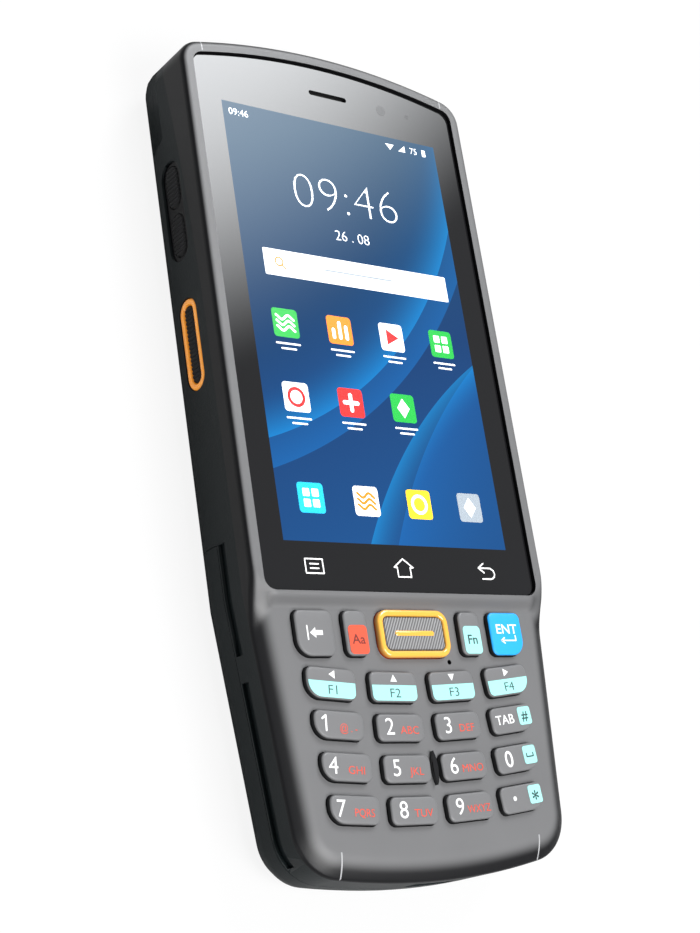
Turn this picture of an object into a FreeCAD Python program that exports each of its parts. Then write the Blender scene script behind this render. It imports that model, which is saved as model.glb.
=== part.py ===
import FreeCAD, Part
import math
import os

# Rugged handheld data terminal, lying on its back: +Z is out of the screen, +Y is towards its top end.
# The origin is in the middle of the flat back. All sizes are in millimetres.
doc = FreeCAD.newDocument("DataTerminal")
sheet = doc.addObject("Spreadsheet::Sheet", "Sizes")

SIZES = {
    # Overall form: the outline seen from the front
    "body_width": 68.0, "body_length": 161.0, "top_bow": 140.0, "bottom_bow": 142.0,
    "top_corner": 5.0, "bottom_corner": 9.0, "taper_start": 50.7, "taper_slope": 0.083,
    # Overall form: the heights of its parts above the flat back
    "back_round": 6.0, "wall": 1.8, "shoulder_foot": 14.9, "key_face": 16.6, "shoulder_width": 4.0,
    "rim_top": 18.2, "rim_round": 1.0, "rim_width": 2.5, "glass_top": 17.5, "face_wall": 1.4,
    "parting": 14.6, "parting_start": 64.5, "parting_bow": 461.0, "screen_end": 49.5,
    # Glass, display and frame
    "glass_thick": 1.1, "glass_end": 50.8, "glass_gap": 0.1, "glass_corner": 2.2, "tape_thick": 0.2,
    "panel_border": 3.6, "panel_low": 54.0, "panel_top": 12.0, "panel_thick": 2.0,
    "panel_gap": 0.2, "frame_low": 11.7, "frame_thick": 0.8, "frame_gap": 1.3, "frame_rib": 1.2,
    # Front keypad
    "key_top": 17.8, "key_gap": 0.15, "key_width": 10.4, "key_height": 4.9, "fkey_height": 5.5,
    "key_corner": 1.3, "key_outer_corner": 3.0, "row_span": 50.8, "row_narrowing": 0.8,
    "row_pitch": 7.2, "fkey_row": 33.5, "smile": 220.0, "first_row": 43.3, "first_height": 8.2,
    "end_key_width": 8.0, "end_key_middle": 22.1, "slim_key_width": 5.0, "slim_key_middle": 13.2,
    "scan_width": 16.2, "scan_height": 8.7, "scan_corner": 2.4, "scan_frame": 1.2,
    "scan_pad_thick": 0.5, "scan_bar_length": 8.9, "scan_bar_height": 0.9,
    "key_flange": 0.6, "flange_thick": 0.4, "flange_gap": 0.1,
    "nub_radius": 1.5, "nub_length": 0.4, "key_round": 0.35,
    "board_thick": 1.0, "dome_film": 0.1, "dome_height": 0.25, "dome_radius": 2.4, "mat_thick": 0.5,
    "dome_clear": 0.4, "pad_half_width": 25.4, "pad_low_end": 9.1, "pad_high_end": 48.1,
    "ridge_length": 6.0, "ridge_width": 1.1, "ridge_rise": 0.9,
    # Battery, its bay and its door
    "bay_end": 65.5, "bay_wall": 1.5, "bay_roof": 11.4, "bay_roof_thick": 1.2, "door_end": 61.0,
    "door_edge": 8.8, "door_gap": 0.12, "battery_width": 49.0, "battery_length": 50.0,
    "battery_thick": 7.0, "battery_corner": 2.0, "fit_gap": 0.1,
    "contact_width": 14.0, "contact_depth": 2.0, "contact_height": 5.0, "contact_low": 3.4,
    "latch_length": 12.0, "latch_width": 6.0, "latch_past_bay": 4.5, "latch_travel": 3.0,
    "latch_inset": 0.3, "latch_neck_inset": 3.0,
    # Keys in the two long sides
    "side_travel": 0.4, "side_middle": 9.2, "volume_middle": 35.5, "volume_pad": 8.4, "volume_height": 4.0,
    "volume_split": 1.4, "volume_recess": 0.5, "side_scan_middle": 62.1, "ring_length": 17.6,
    "ring_height": 5.5, "ring_wall": 1.2, "ring_depth": 1.2, "side_key_gap": 0.12, "power_length": 9.0,
    "side_flange": 0.7, "side_flange_thick": 0.6, "switch_thick": 0.7, "side_board_thick": 0.8,
    "side_board_length": 52.0, "side_board_height": 6.4, "side_board_middle": 47.5,
    # Long grip grooves low in the two sides
    "groove_depth": 0.7, "groove_low": 9.3, "groove_height": 2.0, "groove_top": 61.0,
    "groove_bridge_top": 41.0, "groove_bridge": 4.6, "groove_end": 5.0,
    # Electronics
    "main_width": 48.0, "main_top": 20.5, "main_bottom": 68.5, "shield_thick": 2.0,
    "engine_width": 21.6, "engine_depth": 13.5, "engine_height": 6.9, "engine_low": 4.3,
    "window_width": 24.0, "window_height": 5.8, "window_middle": 7.2, "window_thick": 1.4,
    "camera_size": 8.5, "camera_height": 5.0, "camera_side": -15.0, "camera_along": 33.5, "lens_radius": 4.6,
    "lens_thick": 1.0, "lamp_radius": 2.2, "lamp_side": -3.5,
    "speaker_width": 15.0, "speaker_length": 11.0, "speaker_height": 3.5, "speaker_side": 13.0,
    "speaker_along": 33.5, "buzzer_radius": 4.0, "buzzer_height": 2.7, "buzzer_along": 55.5,
    "front_camera_side": 13.3, "front_camera_along": 8.9, "sensor_side": 20.1,
    "earpiece_width": 12.0, "earpiece_slot": 9.0, "port_width": 9.2, "port_height": 3.3,
    "port_depth": 7.0, "port_low": 9.3, "port_inset": 0.5,
    "card_width": 15.0, "card_length": 14.0, "card_thick": 1.5, "card_side": 13.0, "card_up": 8.0,
    "big_shield_width": 30.0, "big_shield_length": 26.0, "big_shield_side": 5.0, "big_shield_up": 29.0,
    "small_shield_width": 18.0, "small_shield_length": 14.0, "small_shield_side": 10.0,
    "small_shield_down": 21.0, "bracket_length": 7.0, "bracket_back": 4.0, "speaker_slot_length": 10.0,
    "speaker_slot_width": 0.8, "speaker_slot_pitch": 2.0, "lens_low": 0.25,
    # Screws and their posts
    "screw_radius": 1.0, "screw_head": 1.9, "screw_head_thick": 1.4, "screw_low": 9.0, "screw_length": 4.5,
    "screw_gap": 0.1, "post_radius": 3.1, "boss_radius": 2.1, "post_side": 25.0, "post_top": 8.5,
    "post_middle": 51.1, "post_low_side": 23.0, "post_low": 6.7,
}
# Places along the terminal are given from its nearer end, so that they keep to that end
FROM_LOW_END = ("taper_start", "screen_end", "glass_end", "panel_low", "fkey_row", "first_row", "pad_low_end",
                "pad_high_end", "bay_end", "door_end", "groove_top", "groove_bridge_top", "groove_end",
                "main_bottom", "post_middle", "post_low")
FROM_TOP_END = ("parting_start", "panel_top", "volume_middle", "side_scan_middle", "side_board_middle",
                "main_top", "camera_along", "speaker_along", "buzzer_along", "front_camera_along", "post_top")
for row, (alias, given) in enumerate(SIZES.items(), start=1):
    sheet.set("A%d" % row, alias)
    sheet.set("B%d" % row, str(given))
    sheet.setAlias("B%d" % row, alias)
doc.recompute()

V = FreeCAD.Vector
FAR = 200.0
parts = []


def size(name):
    """One driving dimension, read from the sheet. A place given from an end comes back as a Y."""
    given = float(getattr(sheet, name))
    if name in FROM_LOW_END:
        return given - float(sheet.body_length) / 2
    if name in FROM_TOP_END:
        return float(sheet.body_length) / 2 - given
    return given


def cell(word):
    """The expression for one alias: its cell, or the Y that a place given from an end stands for."""
    if word in FROM_LOW_END:
        return "( Sizes.%s - Sizes.body_length / 2 )" % word
    if word in FROM_TOP_END:
        return "( Sizes.body_length / 2 - Sizes.%s )" % word
    return "Sizes." + word


def cells(text):
    """The expression with each alias in it written as a cell of the sheet."""
    words = text.replace("(", " ( ").replace(")", " ) ").split()
    return " ".join(cell(word) if word in SIZES else word for word in words)


def value(text):
    """The number that an expression on the sheet's aliases comes to."""
    total = sheet.evalExpression(cells(text))
    return float(getattr(total, "Value", total))


def bind(thing, **sizes):
    """Bind properties of an object to expressions on the sheet."""
    for name, text in sizes.items():
        thing.setExpression(name.replace("__", "."), cells(text))
    return thing


def keep(thing, label):
    """Name a finished sub-part."""
    thing.Label = label
    parts.append(thing)
    return thing


def box(name, width, length, height, side, along, low):
    """A block centred on side and along, standing on the height low."""
    block = bind(doc.addObject("Part::Box", name), Length=width, Width=length, Height=height)
    return bind(block, Placement__Base__x="%s - ( %s ) / 2" % (side, width),
                Placement__Base__y="%s - ( %s ) / 2" % (along, length), Placement__Base__z=low)


def rod(name, radius, height, side, along, low):
    """An upright round rod standing on the height low."""
    tube = bind(doc.addObject("Part::Cylinder", name), Radius=radius, Height=height)
    return bind(tube, Placement__Base__x=side, Placement__Base__y=along, Placement__Base__z=low)


def join(name, *things):
    """Several objects as one."""
    result = doc.addObject("Part::MultiFuse", name)
    result.Shapes = list(things)
    return result


def solid(label, shape):
    """A sub-part whose form no single feature gives, set from a shape."""
    return keep(feature(label, shape), label)


def feature(name, shape):
    """A document object that holds a worked-out shape."""
    thing = doc.addObject("Part::Feature", name)
    thing.Shape = shape
    return thing


def origin_plane(body, role):
    """One of a body's own origin planes."""
    return next(item for item in body.Origin.OriginFeatures if item.Role == role)


def sketch_on(body, name):
    """An empty sketch on a body's own ground plane."""
    sketch = body.newObject("Sketcher::SketchObject", name)
    sketch.AttachmentSupport = [(origin_plane(body, "XY_Plane"), "")]
    sketch.MapMode = "FlatFace"
    return sketch


def rectangle(body, name, width, height):
    """A sketched rectangle about the body's origin, its sides bound to the sheet."""
    import Sketcher
    sketch = sketch_on(body, name)
    half_wide = value(width) / 2
    half_high = value(height) / 2
    corners = [V(-half_wide, -half_high, 0), V(half_wide, -half_high, 0),
               V(half_wide, half_high, 0), V(-half_wide, half_high, 0)]
    for index in range(4):
        sketch.addGeometry(Part.LineSegment(corners[index], corners[(index + 1) % 4]), False)
    for index in range(4):
        sketch.addConstraint(Sketcher.Constraint("Coincident", index, 2, (index + 1) % 4, 1))
    for index in (0, 2):
        sketch.addConstraint(Sketcher.Constraint("Horizontal", index))
        sketch.addConstraint(Sketcher.Constraint("Vertical", index + 1))
    sketch.addConstraint(Sketcher.Constraint("Symmetric", 0, 1, 2, 1, -1, 1))
    wide = sketch.addConstraint(Sketcher.Constraint("DistanceX", 0, 1, 0, 2, 2 * half_wide))
    high = sketch.addConstraint(Sketcher.Constraint("DistanceY", 1, 1, 1, 2, 2 * half_high))
    sketch.setExpression("Constraints[%d]" % wide, cells(width))
    sketch.setExpression("Constraints[%d]" % high, cells(height))
    return sketch


def circle(body, name, radius):
    """A sketched circle about the body's origin, its radius bound to the sheet."""
    import Sketcher
    sketch = sketch_on(body, name)
    sketch.addGeometry(Part.Circle(V(0, 0, 0), V(0, 0, 1), value(radius)), False)
    sketch.addConstraint(Sketcher.Constraint("Coincident", 0, 3, -1, 1))
    ring = sketch.addConstraint(Sketcher.Constraint("Radius", 0, value(radius)))
    sketch.setExpression("Constraints[%d]" % ring, cells(radius))
    return sketch


def pad(body, sketch, length, offset):
    """Pad a sketch upwards by length, from an offset above the body's origin."""
    sketch.setExpression("AttachmentOffset.Base.z", cells(offset))
    grown = body.newObject("PartDesign::Pad", sketch.Name + "Pad")
    grown.Profile = sketch
    bind(grown, Length=length)
    sketch.Visibility = False
    return grown


def round_edges(body, base, radius, pick):
    """Fillet the edges of a feature that pick chooses."""
    doc.recompute()
    chosen = ["Edge%d" % (index + 1) for index, edge in enumerate(base.Shape.Edges) if pick(edge)]
    fillet = body.newObject("PartDesign::Fillet", base.Name + "Round")
    fillet.Base = (base, chosen)
    bind(fillet, Radius=radius)
    return fillet


def upright(edge):
    """Whether an edge stands along Z."""
    first, last = edge.Vertexes[0].Point, edge.Vertexes[-1].Point
    return abs(first.x - last.x) + abs(first.y - last.y) < 1e-6 < abs(first.z - last.z)


def slab(label, width, length, thick, corner, side, along, low):
    """A flat plate with rounded corners, as a body of its own."""
    body = doc.addObject("PartDesign::Body", label + "_body")
    plate = pad(body, rectangle(body, label + "_outline", width, length), thick, "0")
    round_edges(body, plate, corner, upright)
    bind(body, Placement__Base__x=side, Placement__Base__y=along, Placement__Base__z=low)
    return body


def outline(inset, height):
    """The closed outline seen from the front, drawn inwards by inset, at one height.
    Bowed ends, straight sides that taper below, and four rounded corners, all tangent."""
    half = size("body_width") / 2 - inset
    slope = size("taper_slope")
    lean = math.hypot(1.0, slope)
    top_radius = size("top_bow") - inset
    top_middle = size("body_length") / 2 - size("top_bow")
    top_corner = max(size("top_corner") - inset, 1.0)
    centre_x = half - top_corner
    centre_y = top_middle + math.sqrt((top_radius - top_corner) ** 2 - centre_x ** 2)
    reach = math.hypot(centre_x, centre_y - top_middle)
    top_end = (centre_x * top_radius / reach, top_middle + (centre_y - top_middle) * top_radius / reach)
    turn = V(centre_x / reach, (centre_y - top_middle) / reach, 0) + V(1, 0, 0)
    turn.normalize()
    top_turn = (centre_x + top_corner * turn.x, centre_y + top_corner * turn.y)
    waist = size("taper_start") + inset * (lean - 1) / slope
    bottom_radius = size("bottom_bow") - inset
    bottom_middle = size("bottom_bow") - size("body_length") / 2
    low_corner = max(size("bottom_corner") - inset, 1.0)
    start = size("body_width") / 2 - slope * size("taper_start") - (inset + low_corner) * lean
    # The low corner's centre lies on the line x = start + slope * y and inside the bottom bow
    a = 1 + slope ** 2
    b = 2 * (start * slope - bottom_middle)
    c = start ** 2 + bottom_middle ** 2 - (bottom_radius - low_corner) ** 2
    low_y = (-b - math.sqrt(b * b - 4 * a * c)) / (2 * a)
    low_x = start + slope * low_y
    outward = V(1 / lean, -slope / lean, 0)
    downward = V(low_x, low_y - bottom_middle, 0)
    downward.normalize()
    middle = outward + downward
    middle.normalize()
    low_start = (low_x + low_corner * outward.x, low_y + low_corner * outward.y)
    low_turn = (low_x + low_corner * middle.x, low_y + low_corner * middle.y)
    low_end = (low_x + low_corner * downward.x, low_y + low_corner * downward.y)

    def point(place, mirror=1):
        return V(mirror * place[0], place[1], height)

    crown = (0.0, size("body_length") / 2 - inset)
    keel = (0.0, inset - size("body_length") / 2)
    side_top = (half, centre_y)
    side_low = (half, waist)
    edges = [Part.Arc(point(top_end, -1), point(crown), point(top_end)),
             Part.Arc(point(top_end), point(top_turn), point(side_top)),
             Part.LineSegment(point(side_top), point(side_low)),
             Part.LineSegment(point(side_low), point(low_start)),
             Part.Arc(point(low_start), point(low_turn), point(low_end)),
             Part.Arc(point(low_end), point(keel), point(low_end, -1)),
             Part.Arc(point(low_end, -1), point(low_turn, -1), point(low_start, -1)),
             Part.LineSegment(point(low_start, -1), point(side_low, -1)),
             Part.LineSegment(point(side_low, -1), point(side_top, -1)),
             Part.Arc(point(side_top, -1), point(top_turn, -1), point(top_end, -1))]
    return Part.Wire([edge.toShape() for edge in edges])


def stack(levels):
    """A solid through outlines at several heights, given as (height, inset)."""
    return Part.makeLoft([outline(inset, height) for height, inset in levels], True, True)


def prism(inset, low, high):
    """An upright solid of the outline between two heights."""
    return Part.Face(outline(inset, low)).extrude(V(0, 0, high - low))


def block(low_x, high_x, low_y, high_y, low_z, high_z):
    """A block between two corners."""
    return Part.makeBox(high_x - low_x, high_y - low_y, high_z - low_z, V(low_x, low_y, low_z))


def rounded(width, height, thick, corner, outer_corner=None, outer_side=0):
    """An upright rounded block about the origin. outer_side -1 or 1 names the side whose lower
    corner takes the larger outer_corner radius."""
    body = Part.makeBox(width, height, thick, V(-width / 2, -height / 2, 0))

    def is_outer(edge):
        place = edge.CenterOfMass
        return outer_side * place.x > 0 and place.y < 0

    standing = [edge for edge in body.Edges if upright(edge)]
    if outer_side == 0:
        return body.makeFillet(corner, standing)
    small = body.makeFillet(corner, [edge for edge in standing if not is_outer(edge)])
    return small.makeFillet(outer_corner, [edge for edge in small.Edges if upright(edge) and is_outer(edge)
                            and abs(edge.CenterOfMass.x) > width / 2 - 1e-6
                            and edge.CenterOfMass.y < 1e-6 - height / 2])


def back_levels(skin):
    """The rounded back edge as (height, inset) levels, for the outer form or for a skin inside it."""
    radius = size("back_round") - skin
    angles = [math.radians(angle) for angle in (90, 65, 40, 18, 0)]
    return [(skin + radius * (1 - math.cos(math.radians(90) - angle)), skin + radius * (1 - math.cos(angle)))
            for angle in angles]


# The outer form: a rounded back, a soft shoulder round the keypad face and a raised screen surround
wall = size("wall")
foot = size("shoulder_foot")
face = size("key_face")
shoulder = size("shoulder_width")
roof = face - size("face_wall")
rim_top = size("rim_top")
screen_end = size("screen_end")
lower_form = stack(back_levels(0.0) + [(foot, 0.0), (foot + 0.5 * (face - foot), 0.24 * shoulder),
                                       (foot + 0.85 * (face - foot), 0.6 * shoulder), (face, shoulder)])
surround = stack([(size("parting") - 1.0, 0.0), (rim_top - size("rim_round"), 0.0),
                  (rim_top - 0.4 * size("rim_round"), 0.3 * size("rim_round")),
                  (rim_top, size("rim_round"))])
surround = surround.common(block(-FAR, FAR, screen_end, FAR, 0, FAR))
outer_form = lower_form.fuse(surround).removeSplitter()
cavity = stack(back_levels(wall) + [(roof, wall)])
shell = outer_form.cut(cavity)

# The parting plane runs flat below the side keys and sinks in a long bow towards the top end
parting = size("parting")
bow_start = size("parting_start")
bow = size("parting_bow")
parting_end = size("body_length")
bow_end = V(0, parting_end, parting - bow + math.sqrt(bow ** 2 - (parting_end - bow_start) ** 2))
bow_middle_y = 0.5 * (parting_end + bow_start)
bow_middle = V(0, bow_middle_y, parting - bow + math.sqrt(bow ** 2 - (bow_middle_y - bow_start) ** 2))
above_edges = [Part.LineSegment(V(0, -FAR, parting), V(0, bow_start, parting)).toShape(),
               Part.Arc(V(0, bow_start, parting), bow_middle, bow_end).toShape(),
               Part.LineSegment(bow_end, V(0, parting_end, FAR)).toShape(),
               Part.LineSegment(V(0, parting_end, FAR), V(0, -FAR, FAR)).toShape(),
               Part.LineSegment(V(0, -FAR, FAR), V(0, -FAR, parting)).toShape()]
above = Part.Face(Part.Wire(above_edges)).extrude(V(2 * FAR, 0, 0))
above.translate(V(-FAR, 0, 0))

# Keypad layout: each key as (name, side, along, width, height, corner radius, outer side, turn in degrees)
number_names = [["key_1", "key_2", "key_3", "key_tab"], ["key_4", "key_5", "key_6", "key_0"],
                ["key_7", "key_8", "key_9", "key_point"]]
layout = [("key_backspace", "0 - end_key_middle", "first_row", "end_key_width", "first_height", -1, 0),
          ("key_shift", "0 - slim_key_middle", "first_row", "slim_key_width", "first_height", 0, 0),
          ("key_function", "slim_key_middle", "first_row", "slim_key_width", "first_height", 0, 0),
          ("key_enter", "end_key_middle", "first_row", "end_key_width", "first_height", 1, 0)]
for row, names in enumerate([["key_f1", "key_f2", "key_f3", "key_f4"]] + number_names):
    height = "fkey_height" if row == 0 else "key_height"
    for column, name in enumerate(names):
        share = (column - 1.5) / 1.5
        side = "( row_span - key_width - %d * row_narrowing ) / 2 * %.6f" % (row, share)
        along = "fkey_row - %d * row_pitch + ( ( row_span - key_width ) / 2 * %.6f ) ^ 2 / ( 2 * smile )" % (
            row, share)
        turn = math.degrees(value(side) / size("smile"))
        layout.append((name, side, along, "key_width", height, (column == 3) - (column == 0), turn))

key_cap_low = roof - size("flange_gap")
windows = []
for name, side, along, width, height, outer, turn in layout:
    gap = size("key_gap")
    tool = rounded(value(width) + 2 * gap, value(height) + 2 * gap, FAR, size("key_corner") + gap,
                   size("key_outer_corner") + gap, outer)
    tool.Placement = FreeCAD.Placement(V(value(side), value(along), roof - 1),
                                       FreeCAD.Rotation(V(0, 0, 1), turn))
    windows.append(tool)
scan_hole = rounded(size("scan_width") + 2 * size("key_gap"), size("scan_height") + 2 * size("key_gap"), FAR,
                    size("scan_corner") + size("key_gap"))
scan_hole.translate(V(0, size("first_row"), roof - 1))
windows.append(scan_hole)

# Glass, its recess and the opening for the display below it
glass_low = size("glass_top") - size("glass_thick")
ledge = glass_low - size("tape_thick")


def glass_form(grow, low, high):
    """The glass outline grown by a gap, between two heights, its lower corners cut slanting."""
    form = prism(size("rim_width") + size("glass_gap") - grow, low, high)
    form = form.common(block(-FAR, FAR, size("glass_end") - grow, FAR, low, high))
    corners = [edge for edge in form.Edges
               if upright(edge) and abs(edge.CenterOfMass.y - size("glass_end")) < 1]
    return form.makeFillet(size("glass_corner") + grow, corners)


PANEL_WIDTH = "( body_width - 2 * ( rim_width + glass_gap + panel_border ) )"
panel_half = value(PANEL_WIDTH) / 2 + size("panel_gap")
panel_from = size("panel_low") - size("panel_gap")
panel_to = size("panel_top") + size("panel_gap")
earpiece_along = size("front_camera_along")
front = shell.common(above)
front = front.cut(glass_form(size("glass_gap"), ledge, rim_top + 1))
front = front.cut(block(-panel_half, panel_half, panel_from, panel_to, roof - 1, rim_top))
front = front.cut(Part.makeCompound(windows))
sensor_bore = 2.5
for bore_side in (size("front_camera_side"), size("sensor_side")):
    front = front.cut(Part.makeCylinder(sensor_bore, FAR, V(bore_side, earpiece_along, roof - 1)))
slot_half = size("earpiece_slot") / 2
front = front.cut(block(-slot_half, slot_half, earpiece_along - 0.7, earpiece_along + 0.7,
                        roof - 1, ledge + 1))

# Screw places: two at the top, two below the screen and two at the lower end
screw_places = [(mirror * size(across), size(up)) for across, up in
                (("post_side", "post_top"), ("post_side", "post_middle"), ("post_low_side", "post_low"))
                for mirror in (-1, 1)]
frame_low = size("frame_low")
frame_top = frame_low + size("frame_thick")
shank = size("screw_radius") + size("screw_gap")
head_top = size("screw_low") + size("screw_head_thick")
screw_end = head_top + size("screw_length")
for place in screw_places:
    boss = Part.makeCylinder(size("boss_radius"), roof - frame_top, V(place[0], place[1], frame_top))
    front = front.fuse(boss)
for place in screw_places:
    front = front.cut(Part.makeCylinder(shank, FAR, V(place[0], place[1], 0)).common(
        block(-FAR, FAR, -FAR, FAR, 0, screw_end + size("screw_gap"))))
solid("front_housing", front.removeSplitter())

end_face = size("body_length") / 2

# The rear housing: the lower shell with the bay roof, its end wall and the screw posts
below = shell.cut(above)
bay_end = size("bay_end")
bay_roof = size("bay_roof")
roof_low = bay_roof - size("bay_roof_thick")
fitted = cavity.common(block(-FAR, FAR, -FAR, bay_end, roof_low, bay_roof))
end_wall = cavity.common(block(-FAR, FAR, bay_end - size("bay_wall"), bay_end, 0, bay_roof))
below = below.fuse([fitted, end_wall])
bracket_from = end_face - size("engine_depth") - size("bracket_back")
below = below.fuse([block(-size("engine_width") / 3, size("engine_width") / 3, bracket_from,
                          bracket_from + size("bracket_length"), wall - 0.1, size("engine_low"))])
for place in screw_places[:2]:
    below = below.fuse(Part.makeCylinder(size("post_radius"), frame_low, V(place[0], place[1], 0)))
for place in screw_places:
    below = below.cut(Part.makeCylinder(size("screw_head") + size("screw_gap"), head_top,
                                        V(place[0], place[1], 0)).common(
        block(-FAR, FAR, -FAR, FAR, 0 if place[1] > 0 else roof_low - 2, head_top)))
    below = below.cut(Part.makeCylinder(shank, FAR, V(place[0], place[1], roof_low - 1)))

# Keys in the sides: a recess and slots on the left, one slot with its ring and one power key on the right
half_width = size("body_width") / 2
side_mid = size("side_middle")
gap = size("side_key_gap")


def side_slot(mirror, along, length, height, depth_from, depth_to):
    """A rounded slot through a side wall, between two depths from its outer face."""
    bar = rounded(length, height, depth_to - depth_from, height / 2 - 0.05)
    bar.Placement = FreeCAD.Placement(V(mirror * (half_width - depth_from), along, side_mid),
                                      FreeCAD.Rotation(V(0, -mirror, 0), V(0, 0, 1), V(-mirror, 0, 0), "XYZ"))
    return bar


volume_pitch = (size("volume_pad") + size("volume_split")) / 2
recess_length = 2 * size("volume_pad") + size("volume_split") + 2.0
below = below.cut(side_slot(-1, size("volume_middle"), recess_length, size("volume_height") + 2.2, -1,
                            size("volume_recess")))
SIDE_KEYS = [("volume_up_button", -1, size("volume_middle") + volume_pitch, size("volume_pad"),
              size("volume_height"), 0.1),
             ("volume_down_button", -1, size("volume_middle") - volume_pitch, size("volume_pad"),
              size("volume_height"), 0.1),
             ("left_scan_button", -1, size("side_scan_middle"),
              size("ring_length") - 2 * size("ring_wall") - 2 * gap,
              size("ring_height") - 2 * size("ring_wall") - 2 * gap, 0.0),
             ("right_scan_button", 1, size("side_scan_middle"),
              size("ring_length") - 2 * size("ring_wall") - 2 * gap,
              size("ring_height") - 2 * size("ring_wall") - 2 * gap, 0.0),
             ("power_button", 1, size("volume_middle"), size("power_length"), size("volume_height"), 0.1)]
flange_face = wall + 0.1
flange_thick = size("side_flange_thick")
switch_face = flange_face + flange_thick + size("side_travel") + 0.05
for name, mirror, along, length, height, inset in SIDE_KEYS:
    below = below.cut(side_slot(mirror, along, length + 2 * gap, height + 2 * gap, -1, wall + 1))
for mirror in (-1, 1):
    ring_slot = side_slot(mirror, size("side_scan_middle"), size("ring_length") + 2 * gap,
                          size("ring_height") + 2 * gap, -1, size("ring_depth"))
    below = below.cut(ring_slot)
    ring = side_slot(mirror, size("side_scan_middle"), size("ring_length"), size("ring_height"), 0,
                     size("ring_depth"))
    hole = side_slot(mirror, size("side_scan_middle"), size("ring_length") - 2 * size("ring_wall"),
                     size("ring_height") - 2 * size("ring_wall"), -1, size("ring_depth") + 1)
    solid("left_scan_ring" if mirror < 0 else "right_scan_ring", ring.cut(hole))
for name, mirror, along, length, height, inset in SIDE_KEYS:
    stem = side_slot(mirror, along, length, height, inset, flange_face)
    flange = side_slot(mirror, along, length + 2 * size("side_flange"), height + 2 * size("side_flange"),
                       flange_face, flange_face + flange_thick)
    solid(name, stem.fuse(flange).removeSplitter())

# Grip grooves in the two sides, in two runs with a bridge between them
deep = size("groove_depth")
groove_low = size("groove_low")
groove_high = groove_low + size("groove_height")
bridge_low = size("groove_bridge_top") - size("groove_bridge")
band = prism(-1.0, groove_low, groove_high).cut(prism(deep, groove_low - 1, groove_high + 1))
for run_low, run_high in ((size("groove_end"), bridge_low), (size("groove_bridge_top"), size("groove_top"))):
    below = below.cut(band.common(block(-FAR, FAR, run_low, run_high, 0, FAR)))

# Openings in the ends and the back: scan window, camera, lamp, speaker slots and the lower port
window_half = size("window_width") / 2
window_low = size("window_middle") - size("window_height") / 2
window_high = size("window_middle") + size("window_height") / 2
window_back = end_face - 0.9 - size("window_thick")
below = below.cut(block(-window_half, window_half, window_back, FAR, window_low, window_high))
camera_side = size("camera_side")
camera_along = size("camera_along")
lamp_side = size("lamp_side")
lens_low = size("lens_low")
for bore_side, bore_radius in ((camera_side, size("lens_radius")), (lamp_side, size("lamp_radius"))):
    below = below.cut(Part.makeCylinder(bore_radius + 0.05, lens_low + size("lens_thick"),
                                        V(bore_side, camera_along, 0)))
    below = below.cut(Part.makeCylinder(bore_radius - 0.8, FAR, V(bore_side, camera_along, -1)).common(
        block(-FAR, FAR, -FAR, FAR, -1, wall + 0.5)))
speaker_side = size("speaker_side")
speaker_along = size("speaker_along")
speaker_slot = size("speaker_slot_length") / 2
slot_wide = size("speaker_slot_width") / 2
for step in (-2, -1, 0, 1, 2):
    slot_along = speaker_along + step * size("speaker_slot_pitch")
    below = below.cut(block(speaker_side - speaker_slot, speaker_side + speaker_slot, slot_along - slot_wide,
                            slot_along + slot_wide, -1, wall + 0.5))
port_half = size("port_width") / 2
port_low = size("port_low")
port_high = port_low + size("port_height")
port_face = size("port_inset") - end_face
port_back = port_face + size("port_depth")
below = below.cut(block(-port_half - gap, port_half + gap, -FAR, port_back + gap, port_low - gap,
                        port_high + gap))
port_shell = block(-port_half, port_half, port_face, port_back, port_low, port_high)
port_mouth = block(-port_half + 0.4, port_half - 0.4, port_face - 1, port_back - 1, port_low + 0.4,
                   port_high - 0.4)
port_tongue = block(-port_half + 1.4, port_half - 1.4, port_face + 1, port_back - 0.5,
                    port_low + size("port_height") / 2 - 0.35, port_low + size("port_height") / 2 + 0.35)
solid("charging_port", port_shell.cut(port_mouth).fuse(port_tongue))

# The latch pocket, and the battery door taken out of the same shell
latch_half = size("latch_length") / 2
latch_travel = size("latch_travel")
latch_middle = bay_end + size("latch_past_bay")
latch_low = latch_middle - size("latch_width") / 2
latch_high = latch_middle + size("latch_width") / 2
below = below.cut(block(-latch_half - 0.2, latch_half + latch_travel + 0.2, latch_low - 0.2, latch_high + 0.2,
                        -1, wall))
neck_half = latch_half - size("latch_neck_inset")
below = below.cut(block(-neck_half - 0.2, neck_half + latch_travel + 0.2, latch_low + 0.8,
                        latch_high - 0.8, -1, FAR).common(block(-FAR, FAR, -FAR, FAR, -1, wall + 0.5)))
door_end = size("door_end")
door_edge = size("door_edge")
door_zone = block(-FAR, FAR, -FAR, door_end, -1, door_edge)
door_room = block(-FAR, FAR, -FAR, door_end + size("door_gap"), -1, door_edge + size("door_gap"))
door = below.common(door_zone)
below = below.cut(door_room)
solid("rear_housing", max(below.removeSplitter().Solids, key=lambda item: item.Volume))
solid("battery_door", max(door.removeSplitter().Solids, key=lambda item: item.Volume))

# Glass and the tape that holds it
solid("cover_glass", glass_form(0.0, glass_low, size("glass_top")).cut(
    block(-slot_half, slot_half, earpiece_along - 0.5, earpiece_along + 0.5, 0, FAR)))
tape = glass_form(-0.3, ledge, glass_low).cut(block(-panel_half, panel_half, panel_from, panel_to, 0, FAR))
for bore_side in (size("front_camera_side"), size("sensor_side")):
    tape = tape.cut(Part.makeCylinder(sensor_bore, FAR, V(bore_side, earpiece_along, 0)))
solid("glass_tape", tape.cut(block(-slot_half, slot_half, earpiece_along - 0.7, earpiece_along + 0.7, 0, FAR)))

keep(slab("display", PANEL_WIDTH, "( panel_top - panel_low )", "panel_thick", "glass_gap * 5", "0",
          "( panel_top + panel_low ) / 2", "glass_top - glass_thick - panel_thick"), "display_panel")

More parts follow.
